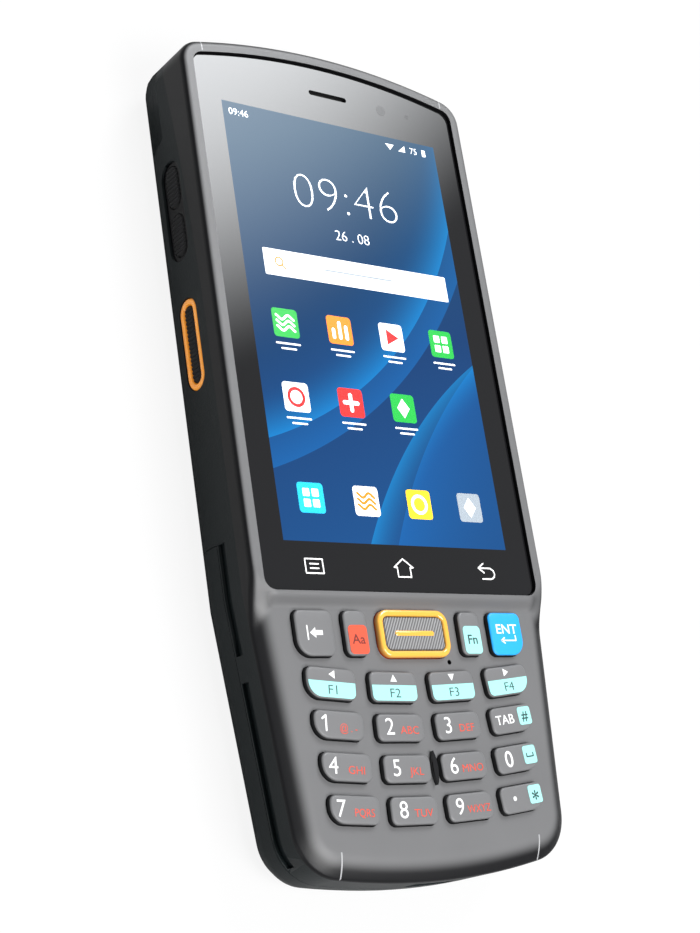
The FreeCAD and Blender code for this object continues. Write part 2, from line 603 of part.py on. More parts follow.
# Middle frame: a plate inside the walls with a rib ring under the display and pads for the main board
frame = prism(wall + size("frame_gap"), frame_low, frame_top)
rib_out = block(-panel_half + 1, panel_half - 1, panel_from + 1, panel_to - 1, frame_top,
                glass_low - size("panel_thick"))
rib = size("frame_rib")
rib_in = block(-panel_half + 1 + rib, panel_half - 1 - rib, panel_from + 1 + rib, panel_to - 1 - rib,
               frame_top, FAR)
frame = frame.fuse(rib_out.cut(rib_in))
main_half = size("main_width") / 2
main_top = frame_low - 0.3
for pad_side in (-main_half + 4, main_half - 4):
    for pad_along in (size("main_bottom") + 5, size("main_top") - 5):
        frame = frame.fuse(Part.makeCylinder(2.0, 0.3, V(pad_side, pad_along, main_top)))
for place in screw_places:
    frame = frame.cut(Part.makeCylinder(shank + 0.1, FAR, V(place[0], place[1], 0)))
frame = frame.cut(block(-port_half - 0.3, port_half + 0.3, -FAR, port_back + 0.3, port_low, port_high + 0.3))
for bore_side in (size("front_camera_side"), size("sensor_side")):
    frame = frame.cut(Part.makeCylinder(3.2, FAR, V(bore_side, earpiece_along, 0)))
solid("middle_frame", frame.removeSplitter())

# Front keys: a cap in its window, a flange under the face and a nub over its dome
for name, side, along, width, height, outer, turn in layout:
    body = doc.addObject("PartDesign::Body", name + "_body")
    cap = pad(body, rectangle(body, name + "_cap", width, height), "key_top - key_face + face_wall + flange_gap",
              "key_face - face_wall - flange_gap")

    def outer_edge(edge):
        place = edge.CenterOfMass
        return upright(edge) and outer * place.x > 0 and place.y < 0

    rounded_cap = round_edges(body, cap, "key_corner", lambda edge: upright(edge) and not outer_edge(edge))
    if outer:
        reach = value(width) / 2 - 1e-6
        rounded_cap = round_edges(body, rounded_cap, "key_outer_corner", lambda edge: outer_edge(edge)
                                  and abs(edge.CenterOfMass.x) > reach
                                  and edge.CenterOfMass.y < 1e-6 - value(height) / 2)
    round_edges(body, rounded_cap, "key_round",
                lambda edge: all(abs(vertex.Point.z - size("key_top")) < 1e-6 for vertex in edge.Vertexes))
    pad(body, rectangle(body, name + "_flange", "%s + 2 * key_flange" % width, "%s + 2 * key_flange" % height),
        "flange_thick", "key_face - face_wall - flange_gap - flange_thick")
    pad(body, circle(body, name + "_nub", "nub_radius"), "nub_length",
        "key_face - face_wall - flange_gap - flange_thick - nub_length")
    bind(body, Placement__Base__x=side, Placement__Base__y=along)
    body.Placement.Rotation = FreeCAD.Rotation(V(0, 0, 1), turn)
    keep(body, name)

# The front scan key: a clear frame with a bar across it, round a ribbed pad
scan_cap = rounded(size("scan_width"), size("scan_height"), size("key_top") - key_cap_low, size("scan_corner"))
recess = rounded(size("scan_width") - 2 * size("scan_frame"), size("scan_height") - 2 * size("scan_frame"), 5,
                 size("scan_corner") - size("scan_frame"))
recess.translate(V(0, 0, size("key_top") - key_cap_low - size("scan_pad_thick")))
bar = rounded(size("scan_bar_length"), size("scan_bar_height"), size("scan_pad_thick"),
              size("scan_bar_height") / 2 - 0.02)
bar.translate(V(0, 0, size("key_top") - key_cap_low - size("scan_pad_thick")))
skirt = rounded(size("scan_width") + 2 * size("key_flange"), size("scan_height") + 2 * size("key_flange"),
                size("flange_thick"), size("scan_corner"))
skirt.translate(V(0, 0, -size("flange_thick")))
nub = Part.makeCylinder(size("nub_radius"), size("nub_length"),
                        V(0, 0, -size("flange_thick") - size("nub_length")))
scan_body = scan_cap.cut(recess).fuse([bar, skirt, nub])
pad_shape = recess.common(block(-FAR, FAR, -FAR, FAR, 0, size("key_top") - key_cap_low - 0.1)).cut(bar)
for label, shape in (("key_scan", scan_body), ("scan_pad", pad_shape)):
    shape.translate(V(0, size("first_row"), key_cap_low))
    solid(label, shape.removeSplitter())

# Keypad board with its dome film and the rubber mat that spaces the domes
key_places = [(value(side), value(along)) for _, side, along, _, _, _, _ in layout] + [(0.0, size("first_row"))]
pad_length = "( pad_high_end - pad_low_end )"
pad_along = "( pad_high_end + pad_low_end ) / 2"
keep(box("keypad_board_box", "2 * pad_half_width", pad_length, "board_thick", "0", pad_along,
         "frame_low + frame_thick"), "keypad_board")
board_top = frame_top + size("board_thick")
film_top = board_top + size("dome_film")
pad_half = size("pad_half_width")
film = block(-pad_half, pad_half, size("pad_low_end"), size("pad_high_end"), board_top, film_top)
mat = block(-pad_half, pad_half, size("pad_low_end"), size("pad_high_end"), film_top,
            film_top + size("mat_thick"))
for place in key_places:
    film = film.fuse(Part.makeCone(size("dome_radius"), 0.6 * size("dome_radius"), size("dome_height"),
                                   V(place[0], place[1], film_top)))
    mat = mat.cut(Part.makeCylinder(size("dome_radius") + size("dome_clear"), FAR, V(place[0], place[1], 0)))
solid("dome_film", film.removeSplitter())
solid("keypad_mat", mat)

# The small raised blade between the 5 and the 6, for finding the middle of the keypad by touch
five = next(entry for entry in layout if entry[0] == "key_5")
ridge_length = size("ridge_length")
ridge_half = size("ridge_width") / 2
tip_low, tip_high = V(0, -ridge_length / 2, 0), V(0, ridge_length / 2, 0)
blade_outline = Part.Wire([Part.Arc(tip_low, V(ridge_half, 0, 0), tip_high).toShape(),
                           Part.Arc(tip_high, V(-ridge_half, 0, 0), tip_low).toShape()])
blade = Part.Face(blade_outline).extrude(V(0, 0, size("ridge_rise")))
blade.translate(V(0, value(five[2]), face))
solid("keypad_ridge", blade)

# Battery pack and the spring contacts in the bay's end wall
keep(slab("battery", "battery_width", "battery_length", "battery_thick", "battery_corner", "0",
          "bay_end - bay_wall - contact_depth - battery_length / 2", "wall + fit_gap"), "battery_pack")
keep(box("contact_block", "contact_width", "contact_depth", "contact_height", "0",
         "bay_end - bay_wall - contact_depth / 2", "contact_low"), "battery_contacts")

# Door latch: a thumb slide in its pocket, with a keeper plate inside the wall
latch_knob = block(-latch_half, latch_half, latch_low, latch_high, size("latch_inset"), wall - 0.1)
latch_neck = block(-neck_half, neck_half, latch_low + 1, latch_high - 1, wall - 0.1, wall + 0.7)
solid("door_latch", latch_knob.fuse(latch_neck).removeSplitter())

# Main board, its shields, the card socket and the lower port
main_along = "( main_top + main_bottom ) / 2"
main_low = "frame_low - 0.3 - board_thick"
keep(box("main_board_box", "main_width", "( main_top - main_bottom )", "board_thick", "0", main_along,
         main_low), "main_board")
keep(join("shields",
          box("big_shield", "big_shield_width", "big_shield_length", "shield_thick", "0 - big_shield_side",
              "main_bottom + big_shield_up", main_low + " - shield_thick"),
          box("small_shield", "small_shield_width", "small_shield_length", "shield_thick", "small_shield_side",
              "main_top - small_shield_down", main_low + " - shield_thick")), "board_shields")
keep(box("card_box", "card_width", "card_length", "card_thick", "card_side", "main_bottom + card_up",
         main_low + " - card_thick"), "card_socket")
for label, side_name in (("left_side_board", -1), ("right_side_board", 1)):
    board_from = half_width - switch_face - size("switch_thick") - size("side_board_thick")
    board = block(board_from, board_from + size("side_board_thick"),
                  size("side_board_middle") - size("side_board_length") / 2,
                  size("side_board_middle") + size("side_board_length") / 2,
                  side_mid - size("side_board_height") / 2 - 0.9,
                  side_mid + size("side_board_height") / 2 - 0.9)
    for name, mirror, along, length, height, inset in SIDE_KEYS:
        if mirror == side_name:
            board = board.fuse(block(board_from + size("side_board_thick"), half_width - switch_face,
                                     along - 1.8, along + 1.8, side_mid - 1.2, side_mid + 1.2))
    if side_name < 0:
        board = board.mirror(V(0, 0, 0), V(1, 0, 0))
    solid(label, board.removeSplitter())

# Scan engine on its bracket behind the end window
engine_along = "body_length / 2 - 0.9 - window_thick - 0.4 - engine_depth / 2"
engine = keep(box("engine_box", "engine_width", "engine_depth", "engine_height", "0", engine_along,
                  "engine_low"), "scan_engine")
keep(box("window_box", "window_width - 2 * fit_gap", "window_thick", "window_height - 2 * fit_gap", "0",
         "body_length / 2 - 0.9 - window_thick / 2", "window_middle - window_height / 2 + fit_gap"),
     "scan_window")

# Cameras, lamp, speakers and the vibration motor
keep(box("camera_box", "camera_size", "camera_size", "camera_height", "camera_side", "camera_along",
         "wall + fit_gap"), "rear_camera")
keep(rod("lens_disc", "lens_radius", "lens_thick", "camera_side", "camera_along", "lens_low"), "camera_lens")
keep(join("lamp", rod("lamp_disc", "lamp_radius", "lens_thick", "lamp_side", "camera_along", "lens_low"),
          rod("lamp_stem", "lamp_radius - 0.9", "wall + 0.6 - lens_low", "lamp_side", "camera_along",
              "lens_low"),
          box("lamp_base", "5", "5", "0.8", "lamp_side", "camera_along", "wall + 0.1")), "camera_lamp")
keep(box("speaker_box", "speaker_width", "speaker_length", "speaker_height", "speaker_side", "speaker_along",
         "wall + fit_gap"), "loudspeaker")
keep(rod("buzzer_disc", "buzzer_radius", "buzzer_height", "speaker_side", "buzzer_along", "wall + fit_gap"),
     "vibration_motor")
keep(box("earpiece_box", "earpiece_width", "3.6", "key_face - face_wall - 0.1 - frame_low - frame_thick", "0",
         "front_camera_along", "frame_low + frame_thick"), "earpiece")
keep(join("front_cameras", rod("camera_barrel", "2.3", "glass_top - glass_thick - 0.2 - frame_low",
                               "front_camera_side", "front_camera_along", "frame_low"),
          rod("camera_foot", "3.0", "0.8", "front_camera_side", "front_camera_along", "frame_low")),
     "front_camera")
keep(join("light_sensors", rod("sensor_barrel", "2.3", "glass_top - glass_thick - 0.2 - frame_low",
                               "sensor_side", "front_camera_along", "frame_low"),
          rod("sensor_foot", "3.0", "0.8", "sensor_side", "front_camera_along", "frame_low")),
     "light_sensor")

# Screws: six alike, driven from the back through the frame into the front housing
screws = []
for place in screw_places:
    head = Part.makeCylinder(size("screw_head"), size("screw_head_thick"),
                             V(place[0], place[1], size("screw_low")))
    slot = Part.makeCylinder(0.8, 0.7, V(place[0], place[1], size("screw_low")))
    screws.append(head.fuse(Part.makeCylinder(size("screw_radius"), size("screw_length") + 0.1,
                                              V(place[0], place[1], head_top - 0.1))).cut(slot))
solid("housing_screws", Part.makeCompound(screws))

doc.recompute()
for thing in doc.Objects:
    if "Invalid" in thing.State or "Error" in thing.State:
        raise RuntimeError("%s (%s) failed" % (thing.Label, thing.Name))
for part in parts:
    if part.Shape.isNull() or not part.Shape.isValid() or not part.Shape.Solids:
        raise RuntimeError("%s has no sound shape" % part.Label)

os.makedirs("parts", exist_ok=True)
for part in parts:
    part.Shape.exportStep(os.path.join("parts", part.Label + ".step"))
print("wrote", len(parts), "parts")
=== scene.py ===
import math
import bpy
import bmesh
import numpy as np
from mathutils import Matrix, Vector


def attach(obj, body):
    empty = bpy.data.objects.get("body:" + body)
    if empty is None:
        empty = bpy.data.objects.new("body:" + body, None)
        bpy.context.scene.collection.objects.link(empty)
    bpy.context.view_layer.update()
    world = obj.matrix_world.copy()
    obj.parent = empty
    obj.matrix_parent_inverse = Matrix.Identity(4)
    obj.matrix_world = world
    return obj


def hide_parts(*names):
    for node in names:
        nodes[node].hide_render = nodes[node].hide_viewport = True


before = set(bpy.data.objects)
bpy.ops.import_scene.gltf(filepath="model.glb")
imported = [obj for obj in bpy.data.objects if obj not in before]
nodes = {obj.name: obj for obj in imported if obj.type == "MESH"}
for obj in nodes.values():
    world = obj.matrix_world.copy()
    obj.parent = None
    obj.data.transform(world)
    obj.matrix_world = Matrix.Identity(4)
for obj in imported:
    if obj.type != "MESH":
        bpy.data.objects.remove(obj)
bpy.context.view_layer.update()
MM = 0.001

# Studio. A pale floor and backdrop, two soft lamps and the camera where the photographer stood:
# above the terminal's lower left, looking across it with the roll of the photograph.
PHOTO_FOCAL_PX = 1714.63
PHOTO_HEIGHT_PX = 933
SENSOR = 36.0
camera_place = Vector((-196.127, -97.202, 248.779)) * MM
camera_turn = Vector((2.6598541, -0.06366965, 0.90783644))
looking = Matrix.Rotation(camera_turn.length, 3, camera_turn.normalized()).transposed()
camera_data = bpy.data.cameras.new("photo_camera")
camera_data.sensor_width = SENSOR
camera_data.lens = PHOTO_FOCAL_PX * SENSOR / PHOTO_HEIGHT_PX
camera_data.clip_start = 0.01
camera = bpy.data.objects.new("photo_camera", camera_data)
bpy.context.scene.collection.objects.link(camera)
camera.matrix_world = Matrix.Translation(camera_place) @ (looking @ Matrix.Diagonal((1, -1, -1))).to_4x4()
bpy.context.scene.camera = camera
bpy.context.scene.view_settings.view_transform = "Standard"


def soft_lamp(name, place, aim, side, watts):
    """A square area lamp turned towards a point."""
    data = bpy.data.lights.new(name, "AREA")
    data.size = side
    data.energy = watts
    lamp = bpy.data.objects.new(name, data)
    bpy.context.scene.collection.objects.link(lamp)
    turn = (Vector(aim) - Vector(place)).to_track_quat("-Z", "Y")
    lamp.matrix_world = Matrix.Translation(place) @ turn.to_matrix().to_4x4()


soft_lamp("top_lamp", (0.15, -0.45, 0.95), (0, 0, 0), 0.6, 13.0)
soft_lamp("low_lamp", (-0.9, -0.7, 0.35), (0, 0, 0.01), 0.25, 0.9)


def seen(tree):
    """A mask that is 1 where the camera looks straight at a surface."""
    path = tree.nodes.new("ShaderNodeLightPath")
    return path.outputs["Is Camera Ray"]


# The room: even light all round, with one broad soft panel far behind the top end that the glass
# mirrors; it fades out towards its edge, so the mirror image does too
PANEL_WAY = Vector((0.40, 0.62, 0.675)).normalized()
PANEL_EDGE = 0.95
PANEL_LIGHT = 14.0
ROOM_LIGHT = 0.28
world = bpy.data.worlds.new("studio")
bpy.context.scene.world = world
world.use_nodes = True
sky = world.node_tree
sky.nodes.clear()
way = sky.nodes.new("ShaderNodeTexCoord")
facing = sky.nodes.new("ShaderNodeVectorMath")
facing.operation = "DOT_PRODUCT"
facing.inputs[1].default_value = PANEL_WAY
panel = sky.nodes.new("ShaderNodeMapRange")
panel.interpolation_type = "SMOOTHSTEP"
panel.inputs["From Min"].default_value = PANEL_EDGE
panel.inputs["From Max"].default_value = 1.0
panel.inputs["To Min"].default_value = ROOM_LIGHT
panel.inputs["To Max"].default_value = PANEL_LIGHT
sky.links.new(way.outputs["Generated"], facing.inputs[0])
sky.links.new(facing.outputs["Value"], panel.inputs["Value"])
plain = sky.nodes.new("ShaderNodeBackground")
plain.inputs["Color"].default_value = (0.96, 0.98, 1.0, 1)
sky.links.new(panel.outputs[0], plain.inputs["Strength"])
white = sky.nodes.new("ShaderNodeBackground")
white.inputs["Color"].default_value = (1, 1, 1, 1)
white.inputs["Strength"].default_value = 1.0
choose = sky.nodes.new("ShaderNodeMixShader")
result = sky.nodes.new("ShaderNodeOutputWorld")
sky.links.new(seen(sky), choose.inputs[0])
sky.links.new(plain.outputs[0], choose.inputs[1])
sky.links.new(white.outputs[0], choose.inputs[2])
sky.links.new(choose.outputs[0], result.inputs[0])


def mesh_object(name, points, faces):
    """A mesh object from an array of points in metres and a list of faces."""
    mesh = bpy.data.meshes.new(name)
    mesh.from_pydata(np.asarray(points, float).tolist(), [], [list(face) for face in faces])
    mesh.update()
    thing = bpy.data.objects.new(name, mesh)
    bpy.context.scene.collection.objects.link(thing)
    return thing


# The floor: mid grey in the light it throws back and in mirrors, and nearly white to the camera
FLOOR_HALF = 3.0
FLOOR_LOW = -0.0001
FLOOR_TONE = (0.42, 0.42, 0.42, 1)
FLOOR_GLOW = 1.11
GLOW_SHARE = 0.8
floor = mesh_object("floor", [(-FLOOR_HALF, -FLOOR_HALF, FLOOR_LOW), (FLOOR_HALF, -FLOOR_HALF, FLOOR_LOW),
                              (FLOOR_HALF, FLOOR_HALF, FLOOR_LOW), (-FLOOR_HALF, FLOOR_HALF, FLOOR_LOW)],
                    [(0, 1, 2, 3)])
floor_paint = bpy.data.materials.new("floor_paint")
floor_paint.use_nodes = True
tree = floor_paint.node_tree
tree.nodes.clear()
paper = tree.nodes.new("ShaderNodeBsdfDiffuse")
paper.inputs["Color"].default_value = FLOOR_TONE
glow = tree.nodes.new("ShaderNodeEmission")
mostly_seen = tree.nodes.new("ShaderNodeMath")
mostly_seen.operation = "MULTIPLY"
mostly_seen.inputs[1].default_value = GLOW_SHARE
glow.inputs["Strength"].default_value = FLOOR_GLOW
both = tree.nodes.new("ShaderNodeMixShader")
ground = tree.nodes.new("ShaderNodeOutputMaterial")
tree.links.new(seen(tree), mostly_seen.inputs[0])
tree.links.new(mostly_seen.outputs[0], both.inputs[0])
tree.links.new(paper.outputs[0], both.inputs[1])
tree.links.new(glow.outputs[0], both.inputs[2])
tree.links.new(both.outputs[0], ground.inputs[0])
floor.data.materials.append(floor_paint)

# Front housing. The upper half of the case, moulded in black plastic and sprayed satin grey from the
# front: side walls down to the parting line, a raised surround about the glass, and a soft shoulder
# round the keypad face with a window for each key. The grey goes over into black down the turned-away
# sides, partly as bare moulding and partly as painted shade. Six screws from the back hold it to the
# rear half.

# Its outline from the front: bowed ends, straight sides that taper below the screen, four round corners
BODY_WIDTH = 68.0
BODY_LENGTH = 161.0
TOP_BOW = 140.0
BOTTOM_BOW = 142.0
TOP_CORNER = 5.0
BOTTOM_CORNER = 9.0
TAPER_START = -29.8
TAPER_SLOPE = 0.083
BOW_STEPS = 61
CORNER_STEPS = 17
SIDE_STEPS = 131
TAPER_STEPS = 81


def arc(centre, radius, start, end, steps):
    """Points on a circle between two angles."""
    angles = np.linspace(start, end, steps)
    return np.column_stack([centre[0] + radius * np.cos(angles), centre[1] + radius * np.sin(angles)])


def outline(inset):
    """The outline drawn inwards by inset, clockwise from the middle of the top, in millimetres. Each
    corner circle touches its bow from inside and its side line, so its centre is found from both; at the
    tapered side that is the lower root of square y^2 + linear y + plain = 0."""
    half = BODY_WIDTH / 2 - inset
    lean = math.hypot(1.0, TAPER_SLOPE)
    top_radius = TOP_BOW - inset
    top_middle = BODY_LENGTH / 2 - TOP_BOW
    corner = max(TOP_CORNER - inset, 1.0)
    centre_x = half - corner
    centre_y = top_middle + math.sqrt((top_radius - corner) ** 2 - centre_x ** 2)
    top_angle = math.atan2(centre_y - top_middle, centre_x)
    low_corner = max(BOTTOM_CORNER - inset, 1.0)
    bottom_radius = BOTTOM_BOW - inset
    bottom_middle = BOTTOM_BOW - BODY_LENGTH / 2
    start = BODY_WIDTH / 2 - TAPER_SLOPE * TAPER_START - (inset + low_corner) * lean
    square = 1 + TAPER_SLOPE ** 2
    linear = 2 * (start * TAPER_SLOPE - bottom_middle)
    plain = start ** 2 + bottom_middle ** 2 - (bottom_radius - low_corner) ** 2
    low_y = (-linear - math.sqrt(linear ** 2 - 4 * square * plain)) / (2 * square)
    low_x = start + TAPER_SLOPE * low_y
    low_angle = math.atan2(low_y - bottom_middle, low_x)
    side_angle = math.atan2(-TAPER_SLOPE, 1.0)
    waist = TAPER_START + inset * (lean - 1) / TAPER_SLOPE
    low_start = (low_x + low_corner * math.cos(side_angle), low_y + low_corner * math.sin(side_angle))
    side = np.column_stack([np.full(SIDE_STEPS, half), np.linspace(centre_y, waist, SIDE_STEPS)])
    taper = np.column_stack([np.linspace(half, low_start[0], TAPER_STEPS),
                             np.linspace(waist, low_start[1], TAPER_STEPS)])
    right = np.vstack([
        arc((0, top_middle), top_radius, math.pi / 2, top_angle, BOW_STEPS)[:-1],
        arc((centre_x, centre_y), corner, top_angle, 0.0, CORNER_STEPS)[:-1], side[:-1], taper[:-1],
        arc((low_x, low_y), low_corner, side_angle, low_angle, CORNER_STEPS)[:-1],
        arc((0, bottom_middle), bottom_radius, low_angle, -math.pi / 2, BOW_STEPS)])
    left = right[-2:0:-1] * np.array([-1, 1])
    return np.vstack([right, left])


def rings_to_faces(ring_count, ring_size):
    """Quads between neighbouring closed rings of a stack: point k of one ring, of the next, and k + 1."""
    ring = np.arange(ring_count - 1)[:, None] * ring_size
    step = np.arange(ring_size)[None, :]
    after = (step + 1) % ring_size
    quads = np.stack([ring + step, ring + ring_size + step, ring + ring_size + after, ring + after], axis=-1)
    return quads.reshape(-1, 4).tolist()


def stacked(name, rings):
    """A closed shell from rings whose first and last are drawn in to a line."""
    piece = mesh_object(name, np.vstack(rings) * MM, rings_to_faces(len(rings), len(rings[0])))
    work = bmesh.new()
    work.from_mesh(piece.data)
    bmesh.ops.remove_doubles(work, verts=work.verts, dist=1e-6)
    bmesh.ops.dissolve_degenerate(work, edges=work.edges, dist=1e-7)
    bmesh.ops.recalc_face_normals(work, faces=work.faces)
    work.to_mesh(piece.data)
    work.free()
    return piece


def facing_out(piece, merged=0.0):
    """Merge points closer than a distance, wind every face alike, and turn all of them over where the
    volume they hold comes out negative."""
    work = bmesh.new()
    work.from_mesh(piece.data)
    if merged:
        bmesh.ops.remove_doubles(work, verts=work.verts, dist=merged)
    bmesh.ops.recalc_face_normals(work, faces=work.faces)
    if work.calc_volume(signed=True) < 0:
        bmesh.ops.reverse_faces(work, faces=work.faces)
    work.to_mesh(piece.data)
    work.free()
    return piece


def smooth(piece, angle):
    """Shade smooth, with edges over an angle in degrees kept sharp."""
    piece.data.polygons.foreach_set("use_smooth", [True] * len(piece.data.polygons))
    piece.data.set_sharp_from_angle(angle=math.radians(angle))
    return piece


def shade_evenly(piece, angle):
    """Smooth shading with sharp edges over an angle, weighted so that flat faces stay flat."""
    even = smooth(piece, angle).modifiers.new("even_shading", "WEIGHTED_NORMAL")
    even.keep_sharp = True
    return piece


def shell(name, rings, sharp_over=35):
    """A closed solid from rings of equal length, its first and last rings filled."""
    count, size = len(rings), len(rings[0])
    faces = rings_to_faces(count, size)
    faces.append(list(range(size)))
    faces.append(list(range(count * size - 1, (count - 1) * size - 1, -1)))
    return smooth(facing_out(mesh_object(name, np.vstack(rings) * MM, faces), merged=1e-7), sharp_over)


def raised(plan, height):
    """A plan outline lifted to a height, as a ring of points."""
    return np.column_stack([plan, np.full(len(plan), height)])


def prism(name, plan, low, high):
    """A closed upright solid over a plan outline, in millimetres."""
    plan = np.asarray(plan, float)
    return shell(name, [raised(plan, low), raised(plan, high)])


def cut_with(piece, tool):
    """Take a closed solid out of a piece, and drop the solid."""
    cutter = piece.modifiers.new("cut", "BOOLEAN")
    cutter.operation = "DIFFERENCE"
    cutter.solver = "EXACT"
    cutter.object = tool
    bpy.context.view_layer.update()
    graph = bpy.context.evaluated_depsgraph_get()
    result = bpy.data.meshes.new_from_object(piece.evaluated_get(graph))
    piece.modifiers.clear()
    piece.data = result
    bpy.data.objects.remove(tool)


def joined(name, pieces):
    """Several disjoint pieces as one object."""
    work = bmesh.new()
    for piece in pieces:
        work.from_mesh(piece.data)
        bpy.data.objects.remove(piece)
    mesh = bpy.data.meshes.new(name)
    work.to_mesh(mesh)
    work.free()
    whole = bpy.data.objects.new(name, mesh)
    bpy.context.scene.collection.objects.link(whole)
    return whole


def turned(plan, angle):
    """Plan points turned about the origin: x cos a - y sin a, x sin a + y cos a."""
    return np.asarray(plan, float) @ np.array([[math.cos(angle), math.sin(angle)],
                                               [-math.sin(angle), math.cos(angle)]])


def rounded_rectangle(width, height, corners, centre=(0, 0), turn=0.0, steps=9):
    """A rectangle with its own radius at each corner: right top, left top, left bottom, right bottom."""
    points = []
    for index, (radius, (aside, up)) in enumerate(zip(corners, ((1, 1), (-1, 1), (-1, -1), (1, -1)))):
        middle = (aside * (width / 2 - radius), up * (height / 2 - radius))
        points.append(arc(middle, radius, index * math.pi / 2, (index + 1) * math.pi / 2, steps))
    return turned(np.vstack(points), turn) + np.array(centre)


def circle(centre, radius, steps):
    """A closed ring of points, its first point not repeated."""
    return arc(centre, radius, 0, 2 * math.pi, steps + 1)[:-1]


def faded(value, start, end):
    """A smooth step from 0 at start to 1 at end: t t (3 - 2 t)."""
    share = np.clip((value - start) / (end - start), 0, 1)
    return share * share * (3 - 2 * share)


# The keypad's layout, for the windows here and the keys below: a top row of five, then four rows of
# four that follow one smile. Each entry: side, along, width, height, outer side and turn
FIRST_ROW = -37.2
TOP_KEY_HEIGHT = 8.2
SCAN_KEY = (16.2, 8.7, 2.4)
SECOND_ROW = -47.0
ROW_PITCH = 7.2
ROW_SPAN = 50.8
ROW_NARROWING = 0.8
SMILE = 220.0
KEY_WIDTH = 10.4
KEY_HEIGHT = 4.9
F_KEY_HEIGHT = 5.5
KEY_GAP = 0.15
KEY_CORNER = 1.3
KEY_OUTER_CORNER = 3.0
layout = {}
for key_name, side, width, outer in (("key_backspace", -22.1, 8.0, -1), ("key_shift", -13.2, 5.0, 0),
                                     ("key_function", 13.2, 5.0, 0), ("key_enter", 22.1, 8.0, 1)):
    layout[key_name] = (side, FIRST_ROW, width, TOP_KEY_HEIGHT, outer, 0.0)
ROWS = (("key_f1", "key_f2", "key_f3", "key_f4"), ("key_1", "key_2", "key_3", "key_tab"),
        ("key_4", "key_5", "key_6", "key_0"), ("key_7", "key_8", "key_9", "key_point"))
for row, names in enumerate(ROWS):
    for column, key_name in enumerate(names):
        share = (column - 1.5) / 1.5
        side = (ROW_SPAN - KEY_WIDTH - row * ROW_NARROWING) / 2 * share
        along = SECOND_ROW - ROW_PITCH * row + ((ROW_SPAN - KEY_WIDTH) / 2 * share) ** 2 / (2 * SMILE)
        layout[key_name] = (side, along, KEY_WIDTH, KEY_HEIGHT if row else F_KEY_HEIGHT,
                            (column == 3) - (column == 0), side / SMILE)


def key_outline(key_name, grow):
    """The cap's outline grown by a gap, with the larger corner at the keypad's outside below."""
    side, along, width, height, outer, turn = layout[key_name]
    radii = [KEY_CORNER + grow] * 4
    if outer:
        radii[2 if outer < 0 else 3] = KEY_OUTER_CORNER + grow
    return rounded_rectangle(width + 2 * grow, height + 2 * grow, radii, (side, along), turn)


# The surface of the housing: heights over the back, and where along the terminal they change
PARTING = 14.6
PARTING_START = 16.0
PARTING_BOW = 461.0
FACE = 16.6
RIM_TOP = 18.18
WALL_TOP = 17.05
SHOULDER_FOOT = 14.95
RIM_ROUND = 1.25
SHOULDER = 4.5
SHOULDER_LIP = 0.33
RIM_FALL_TOP = -25.0
RIM_FALL_FOOT = -37.0
STEP_TOP = -30.1
STEP_FOOT = -32.6
RIM_DEPTH = 5.0


def parting_height(y):
    """The parting line: level beside the keypad, sinking in a long bow towards the top end."""
    rise = np.clip(y - PARTING_START, 0, None)
    return PARTING - PARTING_BOW + np.sqrt(PARTING_BOW ** 2 - rise ** 2)


def front_height(inset, y):
    """The front surface over the plan. Beside the screen it rounds over the surround; beside the keys it
    swells from a small lip up to the face as face - rise * (1 - t) ** 1.7; the two run into each other
    along the side below the screen."""
    rim = np.clip(inset / RIM_ROUND, 0, 1)
    beside_screen = WALL_TOP + (RIM_TOP - WALL_TOP) * np.sqrt(1 - (1 - rim) ** 2)
    climb = np.clip(inset / SHOULDER, 0, 1)
    lip = np.clip(inset / SHOULDER_LIP, 0, 1)
    beside_keys = (FACE - (FACE - SHOULDER_FOOT) * (1 - climb) ** 1.7
                   - SHOULDER_LIP * (1 - np.sqrt(1 - (1 - lip) ** 2)))
    inner = faded(inset, 0.0, RIM_DEPTH)
    share = faded(y, RIM_FALL_TOP + (STEP_TOP - RIM_FALL_TOP) * inner,
                  RIM_FALL_FOOT + (STEP_FOOT - RIM_FALL_FOOT) * inner)
    return beside_screen * (1 - share) + beside_keys * share


RING_INSETS = (0.0, 0.12, 0.28, 0.48, 0.72, 1.0, 1.25, 1.5, 1.8, 2.1, 2.5, 2.9, 3.3, 3.7, 4.1, 4.5, 5.0, 5.6)
SPINE_END = 62.0
FLAT_INSET = 6.0


def front_rings():
    """Rings from the parting line up the wall and over the rim or shoulder, then drawn in by shares
    towards a line down the middle, so that the face is one even grid."""
    edge, last = outline(0.0), outline(RING_INSETS[-1])
    spine = np.column_stack([np.zeros(len(last)), np.clip(last[:, 1], -SPINE_END, SPINE_END)])
    rings = [np.column_stack([plan, parting_height(plan[:, 1])]) for plan in (spine, edge)]
    for inset in RING_INSETS:
        ring = outline(inset)
        rings.append(np.column_stack([ring, front_height(inset, ring[:, 1])]))
    for share in (0.15, 0.3, 0.45, 0.6, 0.75, 0.9, 1.0):
        ring = last * (1 - share) + spine * share
        rings.append(np.column_stack([ring, front_height(FLAT_INSET, ring[:, 1])]))
    return rings


GLASS_END = -29.7
GLASS_INSET = 2.6
GLASS_CORNER = 2.4
KEPT_CLEAR = 0.2


def glass_outline(grow):
    """The glass: the outline set in from the rim, cut straight across above the keypad."""
    ring = outline(GLASS_INSET - grow)
    end = GLASS_END - grow
    kept = ring[ring[:, 1] > end + GLASS_CORNER + KEPT_CLEAR]
    half = np.abs(ring[np.argmin(np.abs(ring[:, 1] - end)), 0])
    low_right = arc((half - GLASS_CORNER, end + GLASS_CORNER), GLASS_CORNER, 0, -math.pi / 2, 9)
    low_left = arc((GLASS_CORNER - half, end + GLASS_CORNER), GLASS_CORNER, -math.pi / 2, -math.pi, 9)
    return np.vstack([kept[kept[:, 0] >= 0], low_right, low_left, kept[kept[:, 0] < 0]])


